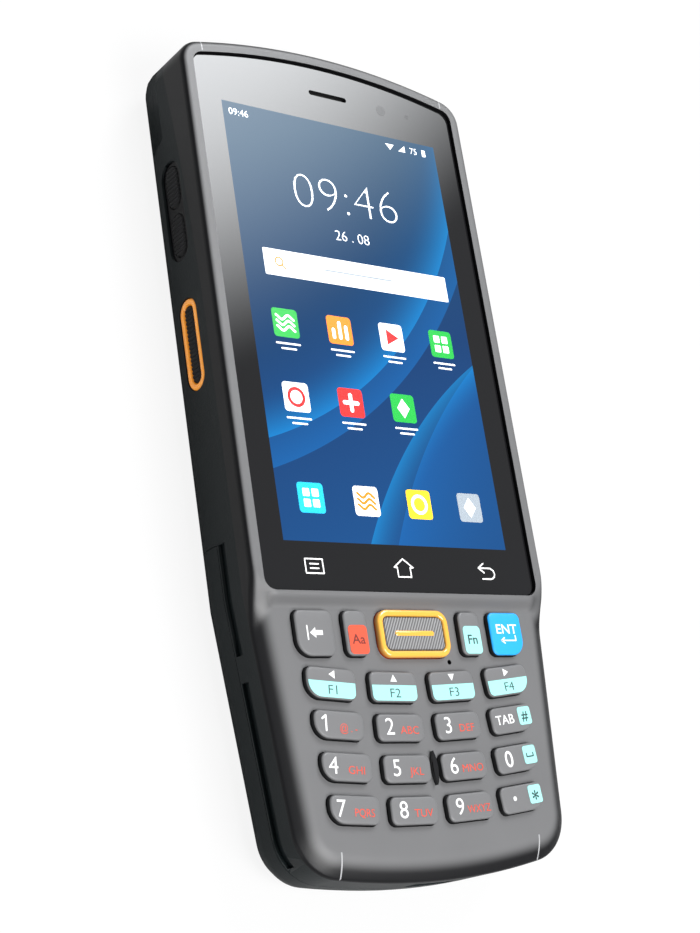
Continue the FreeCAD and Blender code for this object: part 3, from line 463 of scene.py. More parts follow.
WALL = 1.8
FACE_UNDER = 15.2
GLASS_GAP = 0.12
GLASS_LEDGE = 16.2
WINDOW_FOOT = 14.0
BELOW = 5.0
ABOVE = 25.0
MICROPHONE = (7.9, -42.3)
front = stacked("front_shell", front_rings())
cut_with(front, prism("cavity", outline(WALL), BELOW, FACE_UNDER))
cut_with(front, prism("recess", glass_outline(GLASS_GAP), GLASS_LEDGE, ABOVE))
windows = [prism(name + "_window", key_outline(name, KEY_GAP), WINDOW_FOOT, ABOVE) for name in layout]
scan_room = rounded_rectangle(SCAN_KEY[0] + 2 * KEY_GAP, SCAN_KEY[1] + 2 * KEY_GAP,
                              [SCAN_KEY[2] + KEY_GAP] * 4, (0, FIRST_ROW))
windows.append(prism("scan_window_hole", scan_room, WINDOW_FOOT, ABOVE))
windows.append(prism("microphone", circle(MICROPHONE, 0.45, 24), WINDOW_FOOT, ABOVE))
cut_with(front, joined("openings", windows))
shade_evenly(front, 32)


def math_node(tree, kind, first, second=None):
    """A math node fed by sockets or numbers."""
    node = tree.nodes.new("ShaderNodeMath")
    node.operation = kind
    for index, given in enumerate((first, second)):
        if given is None:
            continue
        if isinstance(given, (int, float)):
            node.inputs[index].default_value = given
        else:
            tree.links.new(given, node.inputs[index])
    return node.outputs[0]


def product(tree, *given):
    """Sockets or numbers multiplied together."""
    total = given[0]
    for factor in given[1:]:
        total = math_node(tree, "MULTIPLY", total, factor)
    return total


def blend(tree, share, low_tone, high_tone, kind="MIX"):
    """Two colours mixed by a share, each a socket or a plain tone."""
    mixed = tree.nodes.new("ShaderNodeMix")
    mixed.data_type = "RGBA"
    mixed.blend_type = kind
    tree.links.new(share, mixed.inputs["Factor"])
    for socket, tone in ((mixed.inputs["A"], low_tone), (mixed.inputs["B"], high_tone)):
        if isinstance(tone, tuple):
            socket.default_value = (*tone, 1)
        else:
            tree.links.new(tone, socket)
    return mixed.outputs["Result"]


def grain_group():
    """The group that every moulded and printed finish shares: the coarse noise mixes the two tones and
    gives roughness + unevenness * (noise - 1/2), and the fine noise is the height."""
    group = bpy.data.node_groups.new("moulded_grain", "ShaderNodeTree")
    for name, kind, value in (("Tone A", "NodeSocketColor", (0.3, 0.3, 0.3, 1)),
                              ("Tone B", "NodeSocketColor", (0.3, 0.3, 0.3, 1)),
                              ("Grain Scale", "NodeSocketFloat", 2500.0),
                              ("Cloud Scale", "NodeSocketFloat", 60.0),
                              ("Roughness", "NodeSocketFloat", 0.5),
                              ("Unevenness", "NodeSocketFloat", 0.08)):
        group.interface.new_socket(name, in_out="INPUT", socket_type=kind).default_value = value
    for name, kind in (("Color", "NodeSocketColor"), ("Roughness", "NodeSocketFloat"),
                       ("Height", "NodeSocketFloat")):
        group.interface.new_socket(name, in_out="OUTPUT", socket_type=kind)
    given = group.nodes.new("NodeGroupInput").outputs
    wanted = group.nodes.new("NodeGroupOutput").inputs
    place = group.nodes.new("ShaderNodeTexCoord").outputs["Object"]
    noises = []
    for scale in ("Cloud Scale", "Grain Scale"):
        noise = group.nodes.new("ShaderNodeTexNoise")
        group.links.new(place, noise.inputs["Vector"])
        group.links.new(given[scale], noise.inputs["Scale"])
        noises.append(noise.outputs["Fac"])
    coarse, fine = noises
    uneven = product(group, math_node(group, "SUBTRACT", coarse, 0.5), given["Unevenness"])
    group.links.new(blend(group, coarse, given["Tone A"], given["Tone B"]), wanted["Color"])
    group.links.new(math_node(group, "ADD", uneven, given["Roughness"]), wanted["Roughness"])
    group.links.new(fine, wanted["Height"])
    return group


GRAIN = grain_group()
GRAIN_HEIGHT = 0.00005
COAT_ROUGHNESS = 0.08


def moulded(name, tone, other_tone=None, roughness=0.5, unevenness=0.1, grain=2500.0, depth=0.1,
            coat=0.0, metallic=0.0, shine=0.5):
    """A finish of the shared grain: two tones, a roughness and a bump depth. The second tone is 0.86 of
    the first where none is given."""
    finish = bpy.data.materials.new(name)
    finish.use_nodes = True
    nodes_here = finish.node_tree.nodes
    link = finish.node_tree.links.new
    shader = nodes_here["Principled BSDF"]
    shader.inputs["Coat Weight"].default_value = coat
    shader.inputs["Coat Roughness"].default_value = COAT_ROUGHNESS
    shader.inputs["Metallic"].default_value = metallic
    shader.inputs["Specular IOR Level"].default_value = shine
    speck = nodes_here.new("ShaderNodeGroup")
    speck.name = "grain"
    speck.node_tree = GRAIN
    speck.inputs["Tone A"].default_value = (*tone, 1)
    speck.inputs["Tone B"].default_value = (*(other_tone or [0.86 * channel for channel in tone]), 1)
    speck.inputs["Grain Scale"].default_value = grain
    speck.inputs["Roughness"].default_value = roughness
    speck.inputs["Unevenness"].default_value = unevenness
    bump = nodes_here.new("ShaderNodeBump")
    bump.name = "bump"
    bump.inputs["Strength"].default_value = depth
    bump.inputs["Distance"].default_value = GRAIN_HEIGHT
    link(speck.outputs["Color"], shader.inputs["Base Color"])
    link(speck.outputs["Roughness"], shader.inputs["Roughness"])
    link(speck.outputs["Height"], bump.inputs["Height"])
    link(bump.outputs["Normal"], shader.inputs["Normal"])
    return finish


def object_axes(tree):
    """The piece's own X, Y and Z in metres."""
    place = tree.nodes.new("ShaderNodeTexCoord")
    split = tree.nodes.new("ShaderNodeSeparateXYZ")
    tree.links.new(place.outputs["Object"], split.inputs[0])
    return split.outputs


def smooth_range(tree, given, low, high):
    """A mask that climbs smoothly from 0 at low to 1 at high."""
    node = tree.nodes.new("ShaderNodeMapRange")
    node.interpolation_type = "SMOOTHSTEP"
    node.inputs["From Min"].default_value = low
    node.inputs["From Max"].default_value = high
    tree.links.new(given, node.inputs["Value"])
    return node.outputs[0]


def paint(piece, finish):
    """Give a piece its one finish."""
    piece.data.materials.clear()
    piece.data.materials.append(finish)
    return piece


def ride(piece, body, replaced=()):
    """Set a piece on its body and the CAD nodes that it stands for."""
    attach(piece, body)
    if replaced:
        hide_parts(*replaced)
    return piece


BLACK_MOULDING = (0.006, 0.006, 0.007)
SPRAY_AND_SHADE_BY_FACING = (0.78, 0.995)
SPRAY_AND_SHADE_BY_HEIGHT = (15.7, 16.58)
STEP_ALONG = (-34.0, -29.0)
STEP_ASIDE = (32.6, 29.0)
TROUGHS_ALONG = (-72.2, -43.4)
TROUGHS_ASIDE = (27.5, 23.0)
TROUGH_DEPTH = 0.00008
front_paint = moulded("front_paint", (0.165, 0.165, 0.168), (0.14, 0.14, 0.143), roughness=0.36,
                      unevenness=0.08, depth=0.12, grain=3000, shine=0.3)
tree = front_paint.node_tree
shader = tree.nodes["Principled BSDF"]
axes = object_axes(tree)
aside = math_node(tree, "ABSOLUTE", axes["X"])
# The grey covers what faces forwards and darkens smoothly into the black moulding where the surface
# turns away down the shoulder and sinks towards the parting line: partly bare moulding, partly painted
# shade on the faces turned from the light. The short step under the glass is kept grey too.
normal = tree.nodes.new("ShaderNodeTexCoord")
upright = tree.nodes.new("ShaderNodeSeparateXYZ")
tree.links.new(normal.outputs["Normal"], upright.inputs[0])
grey_and_shade_by_facing = smooth_range(tree, upright.outputs["Z"], *SPRAY_AND_SHADE_BY_FACING)
grey_and_shade_by_height = smooth_range(tree, axes["Z"], SPRAY_AND_SHADE_BY_HEIGHT[0] * MM, SPRAY_AND_SHADE_BY_HEIGHT[1] * MM)
spared = product(tree, smooth_range(tree, aside, STEP_ASIDE[0] * MM, STEP_ASIDE[1] * MM),
                 math_node(tree, "GREATER_THAN", axes["Y"], STEP_ALONG[0] * MM),
                 math_node(tree, "LESS_THAN", axes["Y"], STEP_ALONG[1] * MM))
grey_spray_and_shade = math_node(tree, "MAXIMUM", spared, product(tree, grey_and_shade_by_facing, grey_and_shade_by_height))
tree.links.new(blend(tree, grey_spray_and_shade, BLACK_MOULDING, tree.nodes["grain"].outputs["Color"]),
               shader.inputs["Base Color"])
# The rows of keys lie in shallow troughs that follow the smile: (1 + cosine) of the place across them
curved = math_node(tree, "SUBTRACT", axes["Y"],
                   math_node(tree, "DIVIDE", product(tree, axes["X"], axes["X"]), 2 * SMILE * MM))
phase = product(tree, math_node(tree, "SUBTRACT", curved, SECOND_ROW * MM), 2 * math.pi / (ROW_PITCH * MM))
wave = math_node(tree, "ADD", math_node(tree, "COSINE", phase), 1.0)
among = product(tree, smooth_range(tree, aside, TROUGHS_ASIDE[0] * MM, TROUGHS_ASIDE[1] * MM),
                math_node(tree, "GREATER_THAN", curved, TROUGHS_ALONG[0] * MM),
                math_node(tree, "LESS_THAN", curved, TROUGHS_ALONG[1] * MM))
trough = tree.nodes.new("ShaderNodeBump")
trough.inputs["Distance"].default_value = TROUGH_DEPTH
trough.invert = True
tree.links.new(product(tree, wave, among), trough.inputs["Height"])
tree.links.new(tree.nodes["bump"].outputs["Normal"], trough.inputs["Normal"])
tree.links.new(trough.outputs["Normal"], shader.inputs["Normal"])
ride(paint(front, front_paint), "root", ["front_housing"])

# Bumper seams. Fine joints in the housing's moulding that cross the edge near its four corners, drawn
# pale: partly the joint line, partly the painted highlight of its lit chamfer. Each is a narrow strip
# laid on the surface and led over the edge at the same heights.
# Painted highlight: the pale tone stands for light caught on each joint's chamfer.
seam_and_highlight = moulded("seam_and_highlight", (0.42, 0.42, 0.43), roughness=0.3, depth=0.02)
SEAM_DEEP = 0.15
SEAM_PROUD = 0.015


def seam(name, side, bow, end, deepest, width, lean):
    """A strip over the bowed end: at each inset, y lies on the bow's circle less that inset, and z on
    the housing's surface."""
    inset = np.linspace(0.12, deepest, 22)
    x = side + lean * inset
    y = end * (BODY_LENGTH / 2 - bow + np.sqrt((bow - inset) ** 2 - side ** 2))
    z = front_height(inset, y)
    corners = ((-1, -SEAM_DEEP), (1, -SEAM_DEEP), (1, SEAM_PROUD), (-1, SEAM_PROUD))
    rings = np.stack([np.column_stack([x + half * width / 2, y, z + lift]) for half, lift in corners], axis=1)
    return ride(paint(shell(name, list(rings), 40), seam_and_highlight), "root")


for mirror in (-1, 1):
    seam("low_seam_%d" % (mirror + 1), mirror * 22.3, BOTTOM_BOW, -1, 4.4, 0.28, mirror * 0.02)
    seam("top_seam_%d" % (mirror + 1), mirror * 29.2, TOP_BOW, 1, 2.2, 0.26, 0.0)

# Keys. Twenty caps moulded in black plastic and painted grey on top, the enter key blue. Each stands
# in its window on a flange that keeps it in, over the rubber mat, with small rounds at its edge.
KEY_TOP = 17.8
KEY_FOOT = 15.1
FLANGE_FOOT = 14.7
FLANGE = 0.6
KEY_ROUND = 0.42
CROWN = 0.05


def key_cap(name, ring, flange_ring):
    """A cap over a plan ring: flange, upright wall, quarter-round edge, then a crown that climbs by
    CROWN times the square of the share left to the middle."""
    centre = ring.mean(axis=0)
    half = np.abs(ring - centre).max(axis=0)
    rings = [raised(flange_ring, FLANGE_FOOT), raised(flange_ring, KEY_FOOT), raised(ring, KEY_FOOT),
             raised(ring, KEY_TOP - KEY_ROUND - CROWN)]
    for angle in np.radians((18, 36, 54, 72, 90)):
        shrunk = centre + (ring - centre) * (1 - KEY_ROUND * (1 - math.cos(angle)) / half)
        rings.append(raised(shrunk, KEY_TOP - CROWN - KEY_ROUND + KEY_ROUND * math.sin(angle)))
    for share in (0.35, 0.7):
        rings.append(raised(centre + (shrunk - centre) * (1 - share), KEY_TOP - CROWN * (1 - share) ** 2))
    return shell(name, rings, 50)


def height_group():
    """The group of the finishes that change with height: a colour that turns from one tone to another
    over a blend about a height, t = (z - height) / blend + 1/2. It carries both the keys' two-tone paint
    and painted shade on the scan key's walls and in its pad's hollows."""
    group = bpy.data.node_groups.new("tone_and_shade_by_height", "ShaderNodeTree")
    for name, kind, value in (("Low Tone", "NodeSocketColor", (0.01, 0.01, 0.01, 1)),
                              ("High Tone", "NodeSocketColor", (0.3, 0.3, 0.3, 1)),
                              ("Height", "NodeSocketFloat", 0.017), ("Blend", "NodeSocketFloat", 0.0001)):
        group.interface.new_socket(name, in_out="INPUT", socket_type=kind).default_value = value
    group.interface.new_socket("Color", in_out="OUTPUT", socket_type="NodeSocketColor")
    given = group.nodes.new("NodeGroupInput").outputs
    wanted = group.nodes.new("NodeGroupOutput").inputs
    over = math_node(group, "DIVIDE", math_node(group, "SUBTRACT", object_axes(group)["Z"], given["Height"]),
                     given["Blend"])
    share = math_node(group, "ADD", over, 0.5)
    share.node.use_clamp = True
    group.links.new(blend(group, share, given["Low Tone"], given["High Tone"]), wanted["Color"])
    return group


TONE_AND_SHADE_BY_HEIGHT = height_group()


def two_tone_and_shade(name, low_tone, high_tone, height, blend_height, roughness=0.42, coat=0.0, depth=0.1):
    """A moulded finish whose grain lies over a height, with a plain low tone under it: two-tone paint on
    the keys, painted shade on the scan key's walls and in its pad's hollows.
    """
    finish = moulded(name, high_tone, roughness=roughness, coat=coat, depth=depth)
    tree = finish.node_tree
    turn = tree.nodes.new("ShaderNodeGroup")
    turn.node_tree = TONE_AND_SHADE_BY_HEIGHT
    turn.inputs["Low Tone"].default_value = (*low_tone, 1)
    turn.inputs["Height"].default_value = height * MM
    turn.inputs["Blend"].default_value = blend_height * MM
    tree.links.new(tree.nodes["grain"].outputs["Color"], turn.inputs["High Tone"])
    tree.links.new(turn.outputs["Color"], tree.nodes["Principled BSDF"].inputs["Base Color"])
    return finish


key_finish = two_tone_and_shade("key_paint", BLACK_MOULDING, (0.17, 0.17, 0.174), KEY_TOP - 0.32, 0.08)
enter_finish = two_tone_and_shade("enter_paint", BLACK_MOULDING, (0.012, 0.40, 0.98), KEY_TOP - 0.30, 0.06)
for key_name in layout:
    cap = key_cap(key_name + "_cap", key_outline(key_name, 0.0), key_outline(key_name, FLANGE))
    paint(cap, enter_finish if key_name == "key_enter" else key_finish)
    ride(cap, key_name, [key_name])

# Legends on the keys. Pad-printed in white, coral and teal ink, some on a patch of pale cyan or coral.
# Each is a paper-thin solid that lies on its cap and rides with it.
INK = 0.012
ON_KEY = KEY_TOP + INK
ON_PATCH = ON_KEY + 0.02


def printed(name, tone, glow=0.0, roughness=0.45):
    """An ink: a tone with a slight grain, which on the screen is lit from behind."""
    ink = moulded(name, tone, [0.93 * channel for channel in tone], roughness=roughness, depth=0.05)
    if glow:
        tree = ink.node_tree
        shader = tree.nodes["Principled BSDF"]
        tree.links.new(tree.nodes["grain"].outputs["Color"], shader.inputs["Emission Color"])
        shader.inputs["Emission Strength"].default_value = glow
    return ink


white_ink = printed("white_ink", (0.92, 0.92, 0.92))
coral_ink = printed("coral_ink", (0.75, 0.07, 0.035))
coral_patch = printed("coral_patch", (0.80, 0.085, 0.035))
dark_coral_ink = printed("dark_coral_ink", (0.16, 0.02, 0.012))
cyan_patch = printed("cyan_patch", (0.36, 0.80, 0.76))
teal_ink = printed("teal_ink", (0.02, 0.06, 0.06))


def points_of(piece):
    """A piece's points in its mesh's own units, one row each."""
    points = np.empty(len(piece.data.vertices) * 3)
    piece.data.vertices.foreach_get("co", points)
    return points.reshape(-1, 3)


def moved_to(piece, points):
    """Put a piece's points, given in millimetres, in their place."""
    piece.data.vertices.foreach_set("co", (points * MM).ravel())
    piece.data.update()
    return piece


# The cap height of the built-in face, as a share of its size, and the heights of the keys' print
CAP_HEIGHT = 0.69
DIGIT_HEIGHT = 2.9
LETTER_HEIGHT = 1.35
SIGN_ASIDE = 3.1


def lettering(name, words, height, centre, level, turn, ink, body, bold=-0.008, wide=1.0):
    """Words as a thin solid: cap height and centre in millimetres, turned about the centre. Bold is the
    outward offset of the strokes, as a share of the type's size."""
    curve = bpy.data.curves.new(name, "FONT")
    curve.body = words
    curve.offset = bold
    curve.extrude = 0.5
    curve.resolution_u = 4
    source = bpy.data.objects.new(name + "_curve", curve)
    bpy.context.scene.collection.objects.link(source)
    bpy.context.view_layer.update()
    words_solid = bpy.data.objects.new(name, bpy.data.meshes.new_from_object(source))
    bpy.context.scene.collection.objects.link(words_solid)
    bpy.data.objects.remove(source)
    points = points_of(words_solid)
    low, high = points.min(axis=0), points.max(axis=0)
    points -= ((low[0] + high[0]) / 2, CAP_HEIGHT / 2, 0)
    scale = height / CAP_HEIGHT
    points *= np.array([scale * wide, scale, INK])
    points[:, :2] = turned(points[:, :2], turn) + np.array(centre)
    points[:, 2] += level
    return ride(paint(moved_to(words_solid, points), ink), body)


def patch(name, plan, level, ink, body):
    """A printed area over a plan outline."""
    return ride(paint(prism(name, plan, level - INK, level + INK), ink), body)


def strokes(name, lines, width, level, ink, body, centre=(0, 0), turn=0.0):
    """Line art: each line a run of points, drawn as flat bars with round ends and joined into one piece.
    Neighbouring bars differ in thickness by a hair, so that no two faces lie in one plane."""
    bars = []
    for line in lines:
        line = turned(line, turn) + np.array(centre)
        for index, (start, end) in enumerate(zip(line[:-1], line[1:])):
            run = end - start
            thick = INK * (1 + 0.13 * (index % 3))
            bar = rounded_rectangle(float(np.hypot(*run)) + width, width, [width / 2 - 1e-4] * 4,
                                    (start + end) / 2, math.atan2(run[1], run[0]), 5)
            bars.append(prism("bar", bar, level - thick, level + thick))
    return ride(paint(joined(name, bars), ink), body)


def on_key(key_name, dx, dy):
    """A point on a key from its own centre, turned with the key."""
    side, along, _, _, _, turn = layout[key_name]
    return turned((dx, dy), turn) + (side, along)


# Number keys: a white digit on the left, coral letters or signs on the right
LETTERS = {"key_1": "@ . -", "key_2": "ABC", "key_3": "DEF", "key_4": "GHI", "key_5": "JKL", "key_6": "MNO",
           "key_7": "PQRS", "key_8": "TUV", "key_9": "WXYZ"}
for key_name, letters in LETTERS.items():
    outer, turn = layout[key_name][4:]
    digit_place = on_key(key_name, -3.0 if outer < 0 else -2.5, 0.2)
    if key_name == "key_1":
        strokes(key_name + "_digit", [[(-0.62, 0.72), (0.12, 1.28), (0.12, -1.28)]], 0.36, ON_KEY, white_ink,
                key_name, digit_place, turn)
    else:
        lettering(key_name + "_digit", key_name[-1], DIGIT_HEIGHT, digit_place, ON_KEY, turn, white_ink,
                  key_name, bold=-0.002)
    lettering(key_name + "_letters", letters, LETTER_HEIGHT, on_key(key_name, 1.8, -0.45), ON_KEY, turn,
              coral_ink, key_name, bold=-0.004, wide=1.1 if len(letters) < 4 else 0.92)


def low_band(key_name, inset, top):
    """The lower part of a key's outline, drawn in by inset and cut off level at a height above its centre."""
    side, along, _, _, _, turn = layout[key_name]
    own = turned(key_outline(key_name, -inset) - (side, along), -turn)
    kept = own[own[:, 1] < top]
    ends = np.array([[own[:, 0].max(), top], [own[:, 0].min(), top]])
    order = np.argsort(np.arctan2(kept[:, 1] - top, kept[:, 0]))
    return turned(np.vstack([kept[order], ends]), turn) + (side, along)


# F keys: a white arrow above a cyan band with the key's number
for number, way in enumerate(((-1, 0), (0, 1), (0, -1), (1, 0)), start=1):
    key_name = "key_f%d" % number
    patch(key_name + "_patch", low_band(key_name, 0.28, 0.3), ON_KEY, cyan_patch, key_name)
    lettering(key_name + "_letters", "F%d" % number, 1.6, on_key(key_name, 0.1, -1.1), ON_PATCH,
              layout[key_name][5], teal_ink, key_name, bold=-0.004, wide=1.15)
    tip = np.array(way) * 0.62
    flank = np.array([-way[1], way[0]]) * 0.72
    middle = np.array([0.0, 1.55])
    corners = (middle + tip, middle - tip + flank, middle - tip - flank)
    patch(key_name + "_arrow", [on_key(key_name, *corner) for corner in corners], ON_KEY, white_ink, key_name)

# Right column: a white legend, and a second sign in teal on a square cyan patch
for key_name, words, place, height, sign in (("key_tab", "TAB", (-1.9, 0.1), 1.7, "#"),
                                             ("key_0", "0", (-2.2, 0.1), DIGIT_HEIGHT, "_"),
                                             ("key_point", ".", (-2.0, 1.9), 4.2, "*")):
    turn = layout[key_name][5]
    lettering(key_name + "_legend", words, height, on_key(key_name, *place), ON_KEY, turn, white_ink,
              key_name, bold=0.006)
    square = rounded_rectangle(3.1, 3.3, [0.5] * 4, on_key(key_name, SIGN_ASIDE, 0.3), turn)
    patch(key_name + "_patch", square, ON_KEY, cyan_patch, key_name)
    if sign == "_":
        strokes(key_name + "_sign", [[(-0.8, 0.3), (-0.8, -0.3), (0.8, -0.3), (0.8, 0.3)]], 0.25, ON_PATCH,
                teal_ink, key_name, on_key(key_name, SIGN_ASIDE, 0.25), turn)
    else:
        lettering(key_name + "_sign", sign, 1.8 if sign == "#" else 2.6,
                  on_key(key_name, SIGN_ASIDE, 0.3 if sign == "#" else -0.5), ON_PATCH, turn, teal_ink,
                  key_name, bold=0.015)

# Top row: shift and function on tall patches, the word and bent arrow of enter, and the backspace arrow
for key_name, words, ground, ink in (("key_shift", "Aa", coral_patch, dark_coral_ink),
                                     ("key_function", "Fn", cyan_patch, teal_ink)):
    patch(key_name + "_patch", rounded_rectangle(4.1, 5.2, [0.8] * 4, on_key(key_name, 0.2, -1.2)), ON_KEY,
          ground, key_name)
    lettering(key_name + "_legend", words, 1.7, on_key(key_name, 0.2, -1.1), ON_PATCH, 0, ink, key_name,
              bold=0.014, wide=1.05)
lettering("enter_legend", "ENT", 1.75, on_key("key_enter", 0.1, 0.9), ON_KEY, 0, white_ink, "key_enter",
          bold=0.01, wide=1.12)
strokes("enter_mark", [[(1.9, -0.6), (1.9, -1.5), (-1.6, -1.5)], [(-0.9, -1.0), (-1.7, -1.5), (-0.9, -2.0)]],
        0.26, ON_KEY, white_ink, "key_enter", on_key("key_enter", 0.1, 0.2))
strokes("backspace_bar", [[(0, -1.2), (0, 1.2)]], 0.28, ON_KEY, white_ink, "key_backspace",
        on_key("key_backspace", -1.7, 0.0))
ARROW = ((-1.2, 0), (0.0, -0.95), (0.0, -0.42), (1.5, -0.42), (1.5, 0.42), (0.0, 0.42), (0.0, 0.95))
patch("backspace_arrow", [on_key("key_backspace", *corner) for corner in ARROW], ON_KEY, white_ink,
      "key_backspace")

# Front scan key. A clear orange frame with a bar across it, moulded in one, round a grey pad with
# slanting ribs that is snapped into it. The orange deepens to dark red towards its foot as painted
# shade on its walls. Frame, bar and pad go down together.
SCAN_FRAME = 1.2
# Painted shade: the low tone darkens the frame's walls towards the foot of the key.
clear_orange = two_tone_and_shade("clear_orange", (0.50, 0.045, 0.0), (1.0, 0.50, 0.07), KEY_TOP - 0.75, 0.9,
                        roughness=0.16, coat=1.0, depth=0.0)


def hollow(name, rings, sharp_over):
    """A closed solid whose rings go once round its section, so that the last joins the first."""
    count, size = len(rings), len(rings[0])
    first = np.arange(size)
    after = (first + 1) % size
    last = (count - 1) * size
    closing = np.column_stack([first, after, last + after, last + first])
    piece = mesh_object(name, np.vstack(rings) * MM, rings_to_faces(count, size) + closing.tolist())
    return smooth(facing_out(piece), sharp_over)


def frame_ring(name, outer, inner, low, high):
    """A picture-frame solid between two plan rings, its upper edges rounded by drawing the rings in."""
    centre = outer.mean(axis=0)
    rings = []
    for ring, profile in ((outer, ((0, low), (0, high - 0.35), (0.1, high - 0.12), (0.3, high))),
                          (inner, ((-0.3, high), (-0.1, high - 0.1), (0, high - 0.3), (0, low)))):
        half = np.abs(ring - centre).max(axis=0)
        rings += [raised(centre + (ring - centre) * (1 - inset / half), height) for inset, height in profile]
    return hollow(name, rings, 50)


scan_outer = rounded_rectangle(SCAN_KEY[0], SCAN_KEY[1], [SCAN_KEY[2]] * 4, (0, FIRST_ROW), steps=13)
scan_inner = rounded_rectangle(SCAN_KEY[0] - 2 * SCAN_FRAME, SCAN_KEY[1] - 2 * SCAN_FRAME, [1.3] * 4,
                               (0, FIRST_ROW), steps=13)
scan_frame = frame_ring("scan_frame", scan_outer, scan_inner, KEY_FOOT, KEY_TOP)
ride(paint(scan_frame, clear_orange), "key_scan", ["key_scan"])
bar_ring = rounded_rectangle(8.9, 0.95, [0.46] * 4)
scan_bar = shell("scan_bar", [raised(bar_ring * share + (0, FIRST_ROW), KEY_TOP - drop)
                              for share, drop in ((1, 0.6), (1, 0.1), (np.array([0.95, 0.6]), 0))], 40)
ride(paint(scan_bar, clear_orange), "key_scan")


def ribbed(length, height, corner, pitch, depth, slant, spacing):
    """A rounded bar as a height field: the ribs are |sine| of the distance across the slant, and the
    outer 0.4 mm is drawn down by 0.25 (1 - t)^2. Points outside a corner's circle are pulled onto it."""
    xs = np.arange(-length / 2, length / 2 + spacing / 2, spacing)
    ys = np.arange(-height / 2, height / 2 + spacing / 2, spacing)
    grid_x, grid_y = np.meshgrid(xs, ys, indexing="ij")
    rib = np.abs(np.sin(math.pi * (grid_x * math.cos(slant) + grid_y * math.sin(slant)) / pitch))
    qx = np.maximum(np.abs(grid_x) - (length / 2 - corner), 0)
    qy = np.maximum(np.abs(grid_y) - (height / 2 - corner), 0)
    radial = np.hypot(qx, qy)
    pull = np.where(radial > corner, corner / np.maximum(radial, 1e-9), 1.0)
    in_corner = (qx > 0) & (qy > 0)
    grid_x = np.where(in_corner, np.sign(grid_x) * (length / 2 - corner + qx * pull), grid_x)
    grid_y = np.where(in_corner, np.sign(grid_y) * (height / 2 - corner + qy * pull), grid_y)
    from_side = np.minimum(length / 2 - np.abs(grid_x), height / 2 - np.abs(grid_y))
    near = np.minimum(np.where(in_corner, corner - np.minimum(radial, corner), from_side), 0.4) / 0.4
    return np.stack([grid_x, grid_y, depth * rib - 0.25 * (1 - near) ** 2], axis=-1)


def height_solid(name, field, foot, place):
    """A closed solid under a height field, its points carried by place into the terminal."""
    rows, columns = field.shape[:2]
    top = field.reshape(-1, 3)
    low = top.copy()
    low[:, 2] = foot
    index = np.arange(rows * columns).reshape(rows, columns)
    quads = np.stack([index[:-1, :-1], index[1:, :-1], index[1:, 1:], index[:-1, 1:]], axis=-1).reshape(-1, 4)
    rim = np.concatenate([index[0, :], index[1:, -1], index[-1, -2::-1], index[-2:0:-1, 0]])
    following = np.roll(rim, -1)
    count = rows * columns
    walls = np.stack([rim, following, following + count, rim + count], axis=-1)
    faces = quads.tolist() + (quads[:, ::-1] + count).tolist() + walls.tolist()
    return smooth(facing_out(mesh_object(name, place(np.vstack([top, low])) * MM, faces)), 60)


# Painted shade: the pad goes near black in the hollows between its ribs and at its sunken rim, grey on the
# crests.
pad_paint_and_shade = two_tone_and_shade("ribbed_pad_paint_and_shade", (0.05, 0.05, 0.052), (0.34, 0.34, 0.345), KEY_TOP - 0.20, 0.16,
                     roughness=0.45)
pad_ribs = ribbed(SCAN_KEY[0] - 2 * SCAN_FRAME - 0.1, SCAN_KEY[1] - 2 * SCAN_FRAME - 0.1, 1.2, 0.55, 0.16,
                  math.radians(-28), 0.075)
pad = height_solid("scan_ribs", pad_ribs, -1.2, lambda points: points + (0, FIRST_ROW, KEY_TOP - 0.28))
ride(paint(pad, pad_paint_and_shade), "key_scan", ["scan_pad"])

# Blade between the 5 and the 6. A thin gloss-black moulding that the thumb finds. It is the real solid
# with its tessellation merged, so that it shades as one curve.
def smooth_copy(node_name, new_name):
    """A copy of a node with its tessellation merged."""
    piece = bpy.data.objects.new(new_name, nodes[node_name].data.copy())
    bpy.context.scene.collection.objects.link(piece)
    work = bmesh.new()
    work.from_mesh(piece.data)
    bmesh.ops.remove_doubles(work, verts=work.verts, dist=2e-6)
    bmesh.ops.dissolve_limit(work, angle_limit=math.radians(0.5), verts=work.verts, edges=work.edges)
    work.to_mesh(piece.data)
    work.free()
    return piece


gloss_black = moulded("gloss_black", (0.008, 0.008, 0.009), roughness=0.15, coat=0.5, depth=0.02)
blade = shade_evenly(smooth_copy("keypad_ridge", "keypad_blade"), 40)
ride(paint(blade, gloss_black), "root", ["keypad_ridge"])

# Under the keys: a moulded silicone mat, a clear film with metal domes, and a green printed board. They
# lie on each other under the keypad face, keep their own solids, and show only through the gaps.
board_green = moulded("board_green", (0.012, 0.12, 0.04), (0.016, 0.15, 0.05), roughness=0.35, coat=0.3)
paint(nodes["keypad_mat"], moulded("mat_rubber", (0.03, 0.03, 0.03), roughness=0.7))
paint(nodes["dome_film"], moulded("dome_metal", (0.6, 0.6, 0.58), roughness=0.3, metallic=0.7))
paint(nodes["keypad_board"], board_green)

